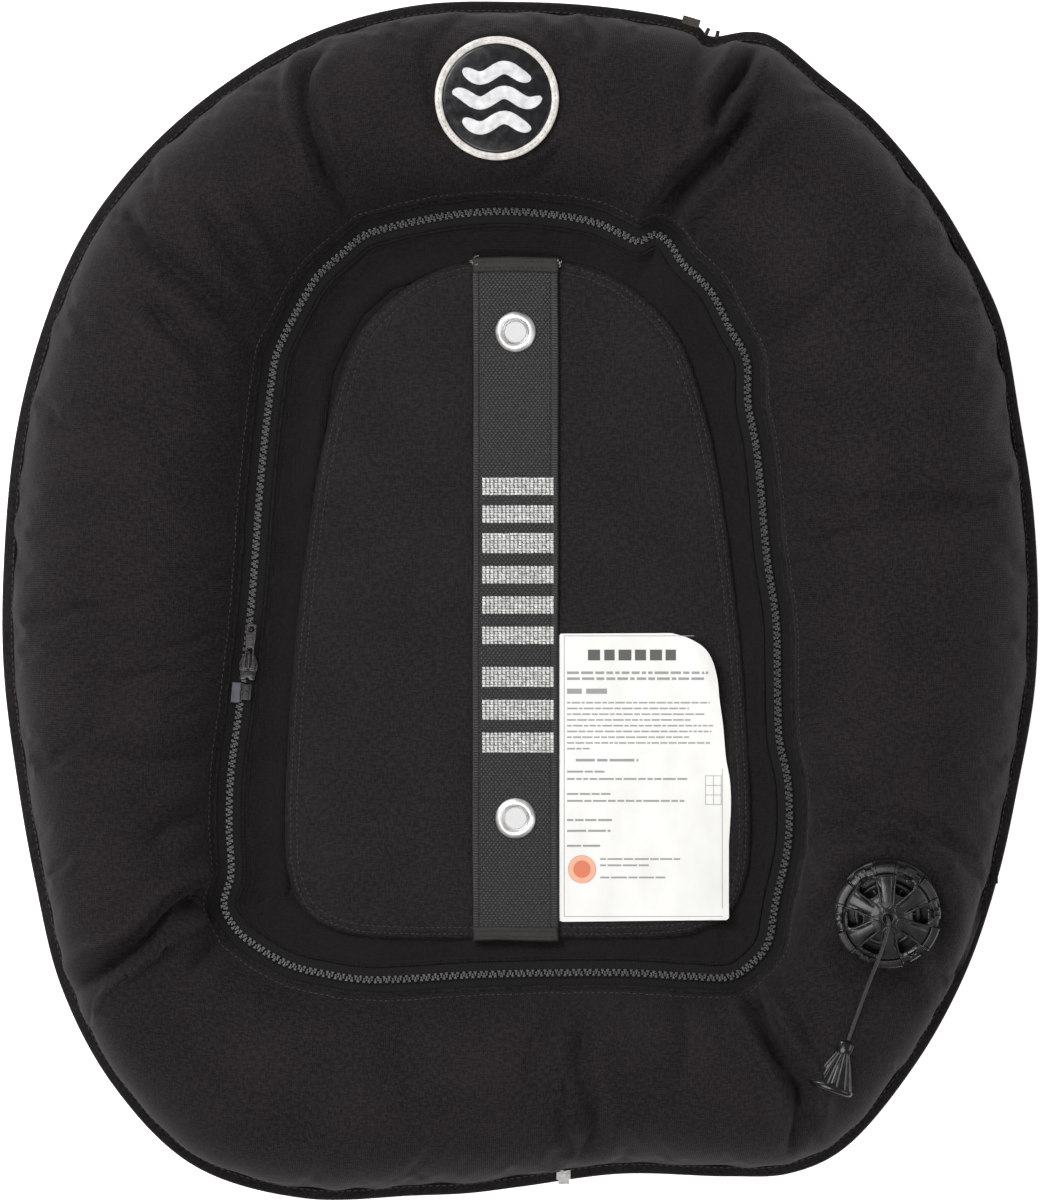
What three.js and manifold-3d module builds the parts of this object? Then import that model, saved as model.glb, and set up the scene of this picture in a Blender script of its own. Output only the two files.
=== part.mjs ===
// Ring-shaped buoyancy wing for twin cylinders, lying with the diver's side up.
// Millimetres, +Z up, +Y towards the diver's head. The floor is z = 0.
import * as THREE from 'three';
import { mergeVertices } from 'three/addons/utils/BufferGeometryUtils.js';
import Module from 'manifold-3d';

const wasm = await Module();
wasm.setup();

// Driving dimensions
const boltSpacing = 279.4;            // 11 inch backplate bolt spacing
const boltX = -2.6;
const upperBoltY = 154;
const lowerBoltY = upperBoltY - boltSpacing;
const gap = 0.3;                      // clearance between touching pieces
const ringSteps = 48;

const clothThickness = 2;
const crownHeight = 108;              // top of the diver's side
const headCrownDrop = 5;              // the head end is a little flatter
const seamHeight = 55;                // outer seam
const seamWidth = 6.5;
const zipHeight = 60;
const zipHalfWidth = 7.6;
const teethWidth = 2;
const hoseClearance = 31;             // underside over the hose
const roundness = 2.6;                // superellipse power of the tube section
const flattening = 9;                 // how far the floor presses the underside up
const bladderInset = 6;

const panelBase = 50;
const panelTop = 52.5;
const padTop = 57.5;
const webbingTop = 60.3;
const webbingHalfWidth = 25;
const bandTop = 61.6;
const eyeletBore = 5.95;
const eyeletBarrel = 6.75;
const eyeletFlange = 11.75;

const badgeCentre = [-13.2, 286.6];
const badgeRadius = 35.5;
const valvePlace = [209.6, -178, crownHeight];
const valveTilt = 12 * Math.PI / 180;
const valveRadius = 30.5;
const poppetRadius = 19;

const elbowPlace = [61, 322];
const hoseRadius = 13;
const hoseHeight = 15.6;

// Seen from above: the outer edge of the seam and the middle of the zip teeth
const outerEdge = [
  [298, 0], [295, 55], [286, 110], [268, 180], [240, 230], [200, 277], [150, 315], [100, 332],
  [50, 341], [0, 344], [-60, 342], [-119, 326], [-171, 296], [-216, 257], [-251, 211], [-274, 158],
  [-290, 95], [-297, 20], [-297, -40], [-289, -105], [-279, -161], [-264, -222], [-234, -279],
  [-188, -325], [-125, -344], [-60, -341], [0, -336], [58, -330], [120, -331], [183, -317],
  [226, -269], [256, -215], [275, -159], [287, -104], [296, -52],
];
const zipLine = [
  [0, 223], [43, 217], [67, 206], [80, 210], [93, 194], [111, 176], [130, 138], [136, 86],
  [142, 23], [148, -56], [151, -90], [155, -120], [148, -170], [141, -200], [125, -216],
  [60, -214], [-22, -215], [-87, -218], [-130, -210], [-155, -194], [-170, -175], [-166, -150],
  [-167, -109], [-161, -61], [-154, 0], [-149, 67], [-142, 118], [-128, 166], [-103, 198],
  [-75, 214], [-32, 222],
];
// Half of the pad's outline, head end first; the other half mirrors it
const padHalfOutline = [
  [24, 195], [50, 188], [72, 174], [92, 152], [105, 118], [115, 75], [123, 20], [129, -35],
  [133, -95], [134, -130], [132, -158], [121, -181], [98, -192], [60, -195], [24, -195],
];

const finish = (color, roughness, metalness = 0) => (
  new THREE.MeshStandardMaterial({ color, roughness, metalness })
);
const materials = {
  cordura: finish(0x232021, 0.9),
  lining: finish(0x2b2a2c, 0.6),
  tape: finish(0x2a2b2b, 0.85),
  teeth: finish(0x141414, 0.5),
  webbing: finish(0x3a3c3c, 0.85),
  nickel: finish(0xd9d9d6, 0.25, 1),
  paper: finish(0xf6f5f0, 0.7),
  rubber: finish(0x101011, 0.6),
  ring: finish(0xdcd7d4, 0.5),
  plastic: finish(0x161617, 0.35),
  steel: finish(0xb8babb, 0.3, 1),
  film: finish(0x7d8592, 0.5),
  seal: finish(0x4a1d1a, 0.7),
};

// Merges shared corners and turns every face outward
function closed(geometry) {
  geometry.deleteAttribute('normal');
  geometry.deleteAttribute('uv');
  const merged = mergeVertices(geometry, 1e-4);
  const spots = merged.getAttribute('position');
  const corners = Array.from(merged.index.array);
  const solid = [];
  let volume = 0;
  const [a, b, c] = [new THREE.Vector3(), new THREE.Vector3(), new THREE.Vector3()];
  for (let i = 0; i < corners.length; i += 3) {
    const [p, q, r] = corners.slice(i, i + 3);
    if (p === q || q === r || r === p) continue;
    a.fromBufferAttribute(spots, p);
    b.fromBufferAttribute(spots, q);
    c.fromBufferAttribute(spots, r);
    volume += a.dot(b.cross(c));
    solid.push(p, q, r);
  }
  merged.setIndex(volume < 0 ? solid.reverse() : solid);
  return merged;
}

function asManifold(geometry) {
  const merged = closed(geometry);
  return new wasm.Manifold(new wasm.Mesh({
    numProp: 3,
    vertProperties: new Float32Array(merged.getAttribute('position').array),
    triVerts: new Uint32Array(merged.index.array),
  }));
}

function asGeometry(solid) {
  const { vertProperties, triVerts } = solid.getMesh();
  const geometry = new THREE.BufferGeometry();
  geometry.setAttribute('position', new THREE.BufferAttribute(vertProperties, 3));
  geometry.setIndex(Array.from(triVerts));
  return geometry;
}

function cut(geometry, ...tools) {
  return asGeometry(tools.reduce((left, tool) => left.subtract(asManifold(tool)), asManifold(geometry)));
}

function join(...geometries) {
  const [first, ...others] = geometries.map(asManifold);
  return asGeometry(others.reduce((sum, other) => sum.add(other), first));
}

// Turned piece about +Z from a [radius, height] profile
function turned(profile, segments = 24) {
  const points = profile.map(([r, z]) => new THREE.Vector2(r, z));
  return new THREE.LatheGeometry(points, segments).rotateX(Math.PI / 2);
}

function closedProfile(profile) {
  return [...profile, profile[0]];
}

function washer(innerRadius, outerRadius, low, high, segments = 24) {
  return turned(closedProfile([
    [innerRadius, low], [outerRadius, low], [outerRadius, high], [innerRadius, high],
  ]), segments);
}

function plug(radius, low, high, segments = 24) {
  return turned([[0, low], [radius, low], [radius, high], [0, high]], segments);
}

// Solid round the whole ring; section(angle) gives its closed [radius, height] outline
function ringSolid(section, steps = ringSteps) {
  const spots = [];
  const index = [];
  let count = 0;
  for (let i = 0; i < steps; i += 1) {
    const angle = 2 * Math.PI * i / steps;
    const outline = section(angle);
    count = outline.length;
    outline.forEach(([r, z]) => spots.push(r * Math.cos(angle), r * Math.sin(angle), z));
  }
  for (let i = 0; i < steps; i += 1) {
    for (let j = 0; j < count; j += 1) {
      const next = (j + 1) % count;
      const far = ((i + 1) % steps) * count;
      index.push(i * count + j, far + j, far + next, i * count + j, far + next, i * count + next);
    }
  }
  const geometry = new THREE.BufferGeometry();
  geometry.setAttribute('position', new THREE.Float32BufferAttribute(spots, 3));
  geometry.setIndex(index);
  return geometry;
}

// Distance from the centre to a closed outline, as a function of the angle
function radiusOf(outline) {
  const points = outline.map(([x, y]) => new THREE.Vector3(x, y, 0));
  const samples = new THREE.CatmullRomCurve3(points, true, 'centripetal').getPoints(1440)
    .map((p) => [(Math.atan2(p.y, p.x) + 2 * Math.PI) % (2 * Math.PI), Math.hypot(p.x, p.y)])
    .sort((one, two) => one[0] - two[0]);
  return (angle) => {
    const wanted = (angle + 2 * Math.PI) % (2 * Math.PI);
    const above = samples.findIndex(([at]) => at >= wanted);
    const high = samples[above < 0 ? 0 : above];
    const low = samples[above <= 0 ? samples.length - 1 : above - 1];
    const span = (high[0] - low[0] + 2 * Math.PI) % (2 * Math.PI) || 1;
    const share = ((wanted - low[0] + 2 * Math.PI) % (2 * Math.PI)) / span;
    return low[1] + (high[1] - low[1]) * Math.min(share, 1);
  };
}
const outerRadius = radiusOf(outerEdge);
const zipRadius = radiusOf(zipLine);

const crownAt = (angle) => crownHeight - headCrownDrop * Math.max(0, Math.sin(angle)) ** 2;

// The underside is lifted over the hose, at the head end on the right
function undersideAt(angle) {
  const middle = 75 * Math.PI / 180;
  const away = Math.abs(Math.atan2(Math.sin(angle - middle), Math.cos(angle - middle)));
  const share = THREE.MathUtils.smoothstep(away, 33 * Math.PI / 180, 62 * Math.PI / 180);
  return hoseClearance * (1 - share);
}

// Half of the tube's section, from its inner foot over the crown to its outer foot
function tubeArc(angle, innerFoot, outerFoot, crown, inset, points) {
  const innerAt = zipRadius(angle) + zipHalfWidth + gap;
  const outerAt = outerRadius(angle) - seamWidth - gap;
  const middle = (innerAt + outerAt) / 2;
  const half = (outerAt - innerAt) / 2 - inset;
  const arc = [];
  for (let i = 0; i < points; i += 1) {
    const turn = Math.PI * i / (points - 1);
    const across = -Math.sign(Math.cos(turn)) * Math.abs(Math.cos(turn)) ** (2 / roundness);
    const foot = innerFoot + (outerFoot - innerFoot) * (across + 1) / 2;
    const side = Math.sign(crown - foot);
    const rise = (crown - foot - side * inset) * Math.max(0, Math.sin(turn)) ** (2 / roundness);
    arc.push([middle + half * across, foot + rise]);
  }
  return arc;
}

const frontArc = (angle, inset, points = 7) => (
  tubeArc(angle, zipHeight + 4, seamHeight + 2, crownAt(angle), inset, points)
);

// The underside is flat where it lies on the floor
function rearArc(angle, inset, points = 7) {
  const sunk = undersideAt(angle) - flattening;
  return tubeArc(angle, panelBase - 0.5, seamHeight - 2, sunk, inset, points)
    .map(([r, z]) => [r, Math.max(z, undersideAt(angle) + inset)]);
}

// Flat piece from polygons that share their corners; each is { outline, holes }
function slab(sections, low, high) {
  const corners = [];
  const faces = [];
  const find = (point) => {
    const at = corners.findIndex((c) => Math.hypot(c[0] - point.x, c[1] - point.y) < 1e-6);
    return at >= 0 ? at : corners.push([point.x, point.y]) - 1;
  };
  for (const { outline, holes = [] } of sections) {
    const rim = outline.map(([x, y]) => new THREE.Vector2(x, y));
    if (THREE.ShapeUtils.isClockWise(rim)) rim.reverse();
    const inner = holes.map((hole) => hole.map(([x, y]) => new THREE.Vector2(x, y)));
    inner.filter((hole) => !THREE.ShapeUtils.isClockWise(hole)).forEach((hole) => hole.reverse());
    const all = [rim, ...inner].flat();
    for (const face of THREE.ShapeUtils.triangulateShape(rim, inner)) {
      faces.push(face.map((corner) => find(all[corner])));
    }
  }
  const edges = new Set(faces.flatMap(([a, b, c]) => [`${a},${b}`, `${b},${c}`, `${c},${a}`]));
  const index = [];
  const count = corners.length;
  for (const [a, b, c] of faces) {
    index.push(a + count, b + count, c + count, a, c, b);
  }
  for (const edge of edges) {
    const [a, b] = edge.split(',').map(Number);
    if (!edges.has(`${b},${a}`)) index.push(a, b, b + count, a, b + count, a + count);
  }
  const geometry = new THREE.BufferGeometry();
  const spots = [low, high].flatMap((z) => corners.flatMap(([x, y]) => [x, y, z]));
  geometry.setAttribute('position', new THREE.Float32BufferAttribute(spots, 3));
  geometry.setIndex(index);
  return geometry;
}

function circle(x, y, radius, points = 20) {
  return Array.from({ length: points }, (_, i) => {
    const turn = 2 * Math.PI * (i + 0.5) / points;
    return [x + radius * Math.cos(turn), y + radius * Math.sin(turn)];
  });
}

const rectangle = (x0, y0, x1, y1) => [[x0, y0], [x1, y0], [x1, y1], [x0, y1]];

function tubeAlong(points, radius, steps, sides = 8) {
  const curve = new THREE.CatmullRomCurve3(points.map((p) => new THREE.Vector3(...p)), false, 'centripetal');
  const section = new THREE.Shape(circle(0, 0, radius, sides).map(([x, y]) => new THREE.Vector2(x, y)));
  return new THREE.ExtrudeGeometry(section, { steps, extrudePath: curve, bevelEnabled: false });
}

function coilSpring(radius, wire, low, high, turns) {
  const points = Array.from({ length: turns * 8 + 1 }, (_, i) => {
    const turn = 2 * Math.PI * i / 8;
    const rise = (high - low - 2 * wire) * i / (turns * 8);
    return [radius * Math.cos(turn), radius * Math.sin(turn), low + wire + rise];
  });
  return tubeAlong(points, wire, turns * 8, 6);
}

function box(x0, y0, z0, x1, y1, z1) {
  return new THREE.BoxGeometry(x1 - x0, y1 - y0, z1 - z0)
    .translate((x0 + x1) / 2, (y0 + y1) / 2, (z0 + z1) / 2);
}

const wing = new THREE.Group();

function add(name, geometry, material, parent = wing) {
  const mesh = new THREE.Mesh(closed(geometry), material);
  mesh.name = name;
  parent.add(mesh);
  return mesh;
}

// ---- Places of the ports

const valveFrame = (geometry) => geometry.rotateX(valveTilt).translate(...valvePlace);
const valvePort = () => valveFrame(plug(valveRadius + 0.8, -30, 60, 32));
const elbowPort = () => plug(15.5, 10, 70).translate(...elbowPlace, 0);
const badgeFloor = crownAt(Math.PI / 2) - 4;
const badgePocket = () => plug(badgeRadius + gap, badgeFloor - gap, crownHeight + 20, 32)
  .translate(...badgeCentre, 0);

// ---- Air cell

function coverShell(arc) {
  return ringSolid((angle) => [
    ...arc(angle, 0).reverse(),
    ...arc(angle, clothThickness),
  ]);
}

function bladder() {
  const cell = (inset) => ringSolid((angle) => {
    const over = frontArc(angle, inset, 5).reverse();
    const under = rearArc(angle, inset, 5).slice(1, -1);
    return [...over, ...under];
  });
  return cut(cell(bladderInset), cell(bladderInset + 2), valvePort(), elbowPort());
}

add('front_cover', cut(coverShell(frontArc), valvePort(), badgePocket()), materials.cordura);
add('rear_cover', cut(coverShell(rearArc), elbowPort()), materials.cordura);
add('bladder', bladder(), materials.lining);
add('edge_binding', ringSolid((angle) => {
  const outer = outerRadius(angle);
  return [
    [outer - seamWidth, seamHeight - 1.7], [outer, seamHeight - 1.7],
    [outer, seamHeight + 1.7], [outer - seamWidth, seamHeight + 1.7],
  ];
}), materials.cordura);

// ---- Zip round the centre

function zipStrip(from, to, lowFrom, lowTo, thickness) {
  return ringSolid((angle) => {
    const middle = zipRadius(angle);
    return [
      [middle + from, lowFrom], [middle + to, lowTo],
      [middle + to, lowTo + thickness], [middle + from, lowFrom + thickness],
    ];
  });
}
const teethStart = 0.2;
const tapeStart = teethStart + teethWidth + gap;
const tapeThickness = 1.2;
const teethLow = zipHeight - 1.4;
const teethHeight = 2.8;
add('zip_tape_outer', zipStrip(tapeStart, zipHalfWidth + 3, zipHeight - 1, zipHeight + 2.3, tapeThickness),
  materials.tape);
add('zip_tape_inner', zipStrip(-zipHalfWidth - 0.6, -tapeStart, zipHeight - 6, teethLow, tapeThickness),
  materials.tape);
add('zip_teeth_outer', zipStrip(teethStart, teethStart + teethWidth, teethLow, teethLow, teethHeight),
  materials.teeth);
add('zip_teeth_inner', zipStrip(-teethStart - teethWidth, -teethStart, teethLow, teethLow, teethHeight),
  materials.teeth);

// The slider runs up the straight left stretch of the zip
const sliderPlace = [-156, -38, teethLow + teethHeight + gap];
const sliderLean = -Math.atan(0.085);
const slider = new THREE.Group();
slider.position.set(...sliderPlace);
slider.rotation.z = sliderLean;
wing.add(slider);

function sliderBody() {
  const outline = [[-3.2, -8], [3.2, -8], [5.4, 1], [5.4, 7], [-5.4, 7], [-5.4, 1]];
  const plate = slab([{ outline }], 0, 1.8);
  const posts = [box(-1.1, -6, 1.2, 1.1, -4.4, 4.6), box(-1.1, 3.4, 1.2, 1.1, 5, 4.6)];
  return join(plate, ...posts, box(-1.1, -6, 3.6, 1.1, 5, 4.6));
}
add('zip_slider', sliderBody(), materials.teeth, slider);

function pullTab() {
  const hole = (y, w, h) => rectangle(-w, y - h, w, y + h);
  const half = [[2.6, -2.2], [2.9, 8], [2.2, 12], [2.9, 16], [2.7, 25]];
  const outline = [...half, ...half.map(([x, y]) => [-x, y]).reverse()];
  return slab([{ outline, holes: [hole(3.4, 1.5, 4.6), hole(21.6, 1, 1.2)] }], 0, 1.3);
}
add('zip_pull', pullTab().translate(0, 0.6, 2.1), materials.teeth, slider);

add('zip_stop', box(-2.6, -19.5, 0, 2.6, -12.5, 1.4), materials.teeth, slider);
add('zip_film_tab', box(-7.2, -24, 0.8, -3, -12.5, 1.2), materials.film, slider);

// ---- Centre: panel, pad, webbing and eyelets

const boltHoles = (x0, x1, y0, y1, radius) => [upperBoltY, lowerBoltY]
  .filter((y) => y > y0 && y < y1 && boltX > x0 && boltX < x1)
  .map((y) => circle(boltX, y, radius));
const barrelHole = eyeletBarrel + gap + 0.1;

function centrePanel() {
  const half = 100;
  const tall = 60;
  const rim = Array.from({ length: ringSteps }, (_, i) => {
    const angle = 2 * Math.PI * i / ringSteps;
    const radius = zipRadius(angle) + zipHalfWidth + 1;
    return [radius * Math.cos(angle), radius * Math.sin(angle)];
  });
  const corner = Math.atan2(tall, half);
  const cornerSteps = Math.round(corner / (2 * Math.PI) * ringSteps);
  const rimRun = (from, to) => (
    Array.from({ length: to - from + 1 }, (_, i) => rim[(from + i + ringSteps) % ringSteps])
  );
  const quarter = ringSteps / 2;
  const sections = [
    { outline: rectangle(-half, -tall, half, tall) },
    { outline: [[half, tall], [half, -tall], ...rimRun(-cornerSteps, cornerSteps)] },
    { outline: [[-half, tall], [half, tall], ...rimRun(cornerSteps, quarter - cornerSteps)],
      holes: boltHoles(-half, half, tall, 300, barrelHole) },
    { outline: [[-half, -tall], [-half, tall], ...rimRun(quarter - cornerSteps, quarter + cornerSteps)] },
    { outline: [[half, -tall], [-half, -tall], ...rimRun(quarter + cornerSteps, ringSteps - cornerSteps)],
      holes: boltHoles(-half, half, -300, -tall, barrelHole) },
  ];
  return slab(sections, panelBase, panelTop);
}

function padOutline() {
  const right = padHalfOutline.map(([x, y]) => [x - 1, y]);
  const left = padHalfOutline.map(([x, y]) => [-x - 1, y]).reverse();
  return [...right, ...left];
}

function webbing() {
  const [left, right] = [boltX - webbingHalfWidth, boltX + webbingHalfWidth];
  const [foot, low, high, head] = [-195.5, -60, 60, 196.5];
  return slab([
    { outline: rectangle(left, high, right, head), holes: boltHoles(left, right, high, head, barrelHole) },
    { outline: rectangle(left, low, right, high) },
    { outline: rectangle(left, foot, right, low), holes: boltHoles(left, right, foot, low, barrelHole) },
  ], padTop + gap, webbingTop);
}

function bandAcross(y0, y1) {
  const half = webbingHalfWidth - 0.5;
  return slab([{ outline: rectangle(boltX - half, y0, boltX + half, y1) }], webbingTop + gap, bandTop);
}

const eyelet = () => turned(closedProfile([
  [eyeletBore, panelBase - 3.4], [eyeletBarrel, panelBase - 3.4], [eyeletBarrel, webbingTop + gap],
  [eyeletFlange, webbingTop + gap], [eyeletFlange, webbingTop + 1], [10.6, webbingTop + 2.1],
  [8.6, webbingTop + 2.3], [7.4, webbingTop + 1.7], [eyeletBore, webbingTop + 0.8],
]), 20);
const eyeletWasher = () => washer(eyeletBarrel + gap, eyeletFlange, panelBase - 2.8, panelBase - gap, 20);

add('centre_panel', centrePanel(), materials.cordura);
add('pad', slab([{ outline: padOutline(), holes: boltHoles(-300, 300, -300, 300, barrelHole) }],
  panelTop + gap, padTop), materials.cordura);
add('centre_webbing', webbing(), materials.webbing);
add('webbing_band_top', bandAcross(188, 196.5), materials.webbing);
add('webbing_band_bottom', bandAcross(-195.5, -187.5), materials.webbing);
for (const [end, y] of [['upper', upperBoltY], ['lower', lowerBoltY]]) {
  add(`grommet_${end}`, eyelet().translate(boltX, y, 0), materials.nickel);
  add(`grommet_washer_${end}`, eyeletWasher().translate(boltX, y, 0), materials.nickel);
}

// White sheet beside the webbing; its upper right corner is drawn as cut off
const labelOutline = [[23, -18.5], [88, -18.5], [110, -32], [119, -60], [120, -184.5], [23, -184.5]];
add('label', slab([{ outline: labelOutline }], padTop + 0.5, padTop + 1.1), materials.paper);

// ---- Round badge at the head end

const badgeTop = crownAt(Math.PI / 2) + 2;
const placeBadge = (geometry) => geometry.translate(...badgeCentre, 0);
add('badge_backing', placeBadge(plug(badgeRadius, badgeFloor, badgeTop - 2.2, 32)), materials.rubber);
add('badge_disc', placeBadge(plug(badgeRadius - 4.4, badgeTop - 1.9, badgeTop - 0.6, 32)), materials.rubber);
add('badge_ring', placeBadge(washer(badgeRadius - 4.1, badgeRadius, badgeTop - 1.9, badgeTop, 32)),
  materials.ring);

// ---- Lower dump valve, on its own tilted axis

const dumpValve = new THREE.Group();
dumpValve.position.set(...valvePlace);
dumpValve.rotation.x = valveTilt;
wing.add(dumpValve);

function dumpCap() {
  const wall = turned(closedProfile([
    [29, 1.6], [29, 10.5], [27.5, 12.4], [8, 15.4], [4, 16], [1.8, 16], [1.8, 13], [7, 13],
    [25.5, 10.4], [26.6, 9.2], [26.6, 1.6],
  ]), 30);
  const windowShape = (turn) => {
    const half = [[10.5, 13], [12, 17], [23, 20], [25, 17]];
    const outline = [...half, ...half.map(([r, d]) => [r, -d]).reverse()].map(([r, d]) => {
      const angle = turn + d * Math.PI / 180;
      return [r * Math.cos(angle), r * Math.sin(angle)];
    });
    return slab([{ outline }], 9, 20);
  };
  const windows = Array.from({ length: 6 }, (_, i) => windowShape((3 + 60 * i) * Math.PI / 180));
  const lugs = Array.from({ length: 12 }, (_, i) => {
    const half = i % 2 ? 5.4 : 2;
    return box(28, -half, 2, valveRadius, half, 9.6).rotateZ((3 + 30 * i) * Math.PI / 180);
  });
  return join(cut(wall, ...windows), ...lugs);
}

add('dump_seat', turned(closedProfile([
  [12.5, -9], [valveRadius + 0.5, -9], [valveRadius + 0.5, 0], [17, 0], [16.5, 1.5], [12.5, 1.5],
]), 32), materials.plastic, dumpValve);
add('dump_gasket', washer(23, 29, gap, 1.3), materials.seal, dumpValve);
add('dump_seal', washer(12.5, 18, 1.8, 3.3), materials.seal, dumpValve);
add('dump_poppet', turned([
  [0, 3.6], [poppetRadius, 3.6], [poppetRadius, 5.4], [4.2, 5.4], [4.2, 6.6], [0, 6.6],
]), materials.plastic, dumpValve);
add('dump_spring', coilSpring(8, 0.6, 5.8, 12.5, 4), materials.steel, dumpValve);
add('dump_cap', dumpCap(), materials.plastic, dumpValve);

// The pull cord leaves the hub, bends over the rim and lies on the cover, with its knob at the end
const cordRadius = 1.05;
const hubExit = new THREE.Vector3(0, 0, 16.6).applyAxisAngle(new THREE.Vector3(1, 0, 0), valveTilt)
  .add(new THREE.Vector3(...valvePlace));
const cordRest = 110.6;
const cordRoute = [
  new THREE.Vector3(0, 0, 7).applyAxisAngle(new THREE.Vector3(1, 0, 0), valveTilt)
    .add(new THREE.Vector3(...valvePlace)).toArray(),
  hubExit.toArray(),
  [210.1, -184.4, 127.1], [208.9, -190.5, 125], [206.4, -199, 120.8], [203.4, -207.5, 117.4],
  [200.2, -215.5, 114.2], [196.8, -224.5, 111.6], [192.8, -236, cordRest], [189.2, -246, cordRest],
  [187.3, -251.2, cordRest],
];
add('dump_cord', tubeAlong(cordRoute, cordRadius, 40, 8), materials.rubber);

// A fluted bell pressed flat, lying on its side with its neck towards the valve
function pullKnob() {
  const bell = turned([
    [0, 0], [4.2, 0], [4.6, 4], [4, 7.5], [9.8, 25], [11.6, 27.5], [9.5, 29.5], [0, 29.5],
  ]);
  const flutes = Array.from({ length: 8 }, (_, i) => (
    turned([[0, 0], [0.9, 1], [0.7, 15], [0, 16]], 8).rotateX(-0.3).translate(0, 4.6, 8.5)
      .rotateZ(2 * Math.PI * i / 8)
  ));
  return join(bell, ...flutes).scale(1, 0.5, 1);
}
const knob = new THREE.Group();
knob.position.set(186.6, -252.4, cordRest);
knob.rotation.set(Math.PI / 2, 0, -22 * Math.PI / 180, 'ZXY');
wing.add(knob);
add('dump_knob', pullKnob(), materials.rubber, knob);

// ---- Elbow, corrugated hose and power inflator, stored under the wing

const spigotTurn = Math.atan2(-0.19, 0.98);
const towardHose = (geometry) => geometry.rotateY(Math.PI / 2).rotateZ(spigotTurn)
  .translate(...elbowPlace, hoseHeight);
const elbowBody = join(
  turned([[0, 1], [9, 1], [14, 6], [14, 46], [0, 46]]).translate(...elbowPlace, 0),
  towardHose(plug(10.5, 0, 22)),
);
add('elbow', elbowBody, materials.plastic);
add('elbow_ring', washer(14 + gap, 18, 26.6, 31).translate(...elbowPlace, 0), materials.plastic);

const hoseRoute = [
  [83.2, 317.7], [108, 311.5], [130, 299], [145, 280], [150, 255], [146, 228], [133, 205], [113, 189],
  [84, 180.5], [50, 178], [15, 177.5], [-20, 176.5], [-48, 172], [-70, 163.5], [-83.5, 149],
  [-88.9, 131], [-90.5, 109.9],
].map(([x, y]) => [x, y, hoseHeight]);
add('inflator_hose', tubeAlong(hoseRoute, hoseRadius, 42, 12), materials.rubber);
add('hose_tie_upper', towardHose(washer(hoseRadius + 0.5, hoseRadius + 2, 26, 31)), materials.plastic);

// The inflator's own axis runs on from the hose's end, along its local +Z
const inflator = new THREE.Group();
inflator.position.set(-90.6, 109, hoseHeight);
inflator.rotation.set(Math.PI / 2, 0, -0.1, 'ZXY');
wing.add(inflator);

// Side branches point along local -X for the button and +X for mouthpiece and nipple
const sideways = (geometry, along, side) => geometry.rotateY(side * Math.PI / 2).translate(0, 0, along);

function inflatorBody() {
  const barrel = turned([
    [0, 0], [10.4, 0], [10.4, 12], [13.5, 17], [14.5, 30], [14.5, 104], [12.5, 112], [0, 112],
  ], 20);
  const branches = [
    sideways(plug(10.5, 0, 24, 20), 52, -1),
    sideways(plug(6.5, 0, 24, 16), 46, 1),
    sideways(plug(10, 0, 26, 20), 94, 1),
  ];
  const wells = [
    sideways(plug(7.4, 12, 40, 20), 52, -1),
    plug(7.4, 98, 130, 20),
  ];
  return cut(join(barrel, ...branches), ...wells);
}
const buttonShape = (from) => plug(7, from, from + 12, 20);
add('inflator_body', inflatorBody(), materials.plastic, inflator);
add('inflate_button', sideways(buttonShape(17), 52, -1), materials.plastic, inflator);
add('inflate_spring', sideways(coilSpring(4.6, 0.45, 12.3, 16.7, 3), 52, -1), materials.steel, inflator);
add('deflate_button', buttonShape(103.5), materials.plastic, inflator);
add('deflate_spring', coilSpring(4.6, 0.45, 98.3, 103.2, 3), materials.steel, inflator);
add('lp_nipple', sideways(turned([
  [0, 24.3], [4, 24.3], [4, 30], [5.4, 30], [5.4, 33], [4.4, 34], [4.4, 41], [0, 41],
], 16), 46, 1), materials.steel, inflator);
add('mouthpiece', sideways(turned([
  [0, 26.3], [10, 26.3], [10, 31], [12.5, 33], [12.5, 36], [14.6, 40], [14.6, 42.5], [0, 42.5],
], 20), 94, 1), materials.rubber, inflator);
add('hose_tie_lower', washer(hoseRadius + 0.6, hoseRadius + 2, -10, -5), materials.plastic, inflator);

// ---- Small tags in the outer seam

add('white_tag', box(21, -333, seamHeight + 2, 29, -327.6, seamHeight + 2.5), materials.paper);
add('edge_flap', box(270.6, -163, seamHeight + 2, 274.6, -151, seamHeight + 3), materials.cordura);

export default wing;
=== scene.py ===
import math
import bmesh
import bpy
import numpy as np
from mathutils import Matrix, Vector, noise
from mathutils.geometry import delaunay_2d_cdt


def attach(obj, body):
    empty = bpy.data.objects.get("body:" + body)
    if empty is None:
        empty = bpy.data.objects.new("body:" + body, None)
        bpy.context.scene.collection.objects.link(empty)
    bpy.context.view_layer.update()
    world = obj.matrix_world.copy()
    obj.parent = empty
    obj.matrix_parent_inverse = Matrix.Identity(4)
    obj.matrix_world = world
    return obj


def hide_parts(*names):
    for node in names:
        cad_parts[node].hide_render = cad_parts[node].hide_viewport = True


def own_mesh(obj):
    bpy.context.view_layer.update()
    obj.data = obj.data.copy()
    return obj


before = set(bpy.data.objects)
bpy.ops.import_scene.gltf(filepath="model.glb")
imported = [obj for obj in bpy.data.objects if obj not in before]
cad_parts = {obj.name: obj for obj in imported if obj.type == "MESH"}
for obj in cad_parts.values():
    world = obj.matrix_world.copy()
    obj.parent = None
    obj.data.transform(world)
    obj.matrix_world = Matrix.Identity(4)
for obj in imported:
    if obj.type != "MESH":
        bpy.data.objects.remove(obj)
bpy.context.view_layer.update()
metre = 0.001            # everything below is worked out in millimetres


# Camera, straight down on the diver's side, far off so that heights don't spread
cameraSetup = {"distance": 8.0, "aimHeight": 0.06, "shownHeight": 0.6892, "sensor": 36.0}


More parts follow.
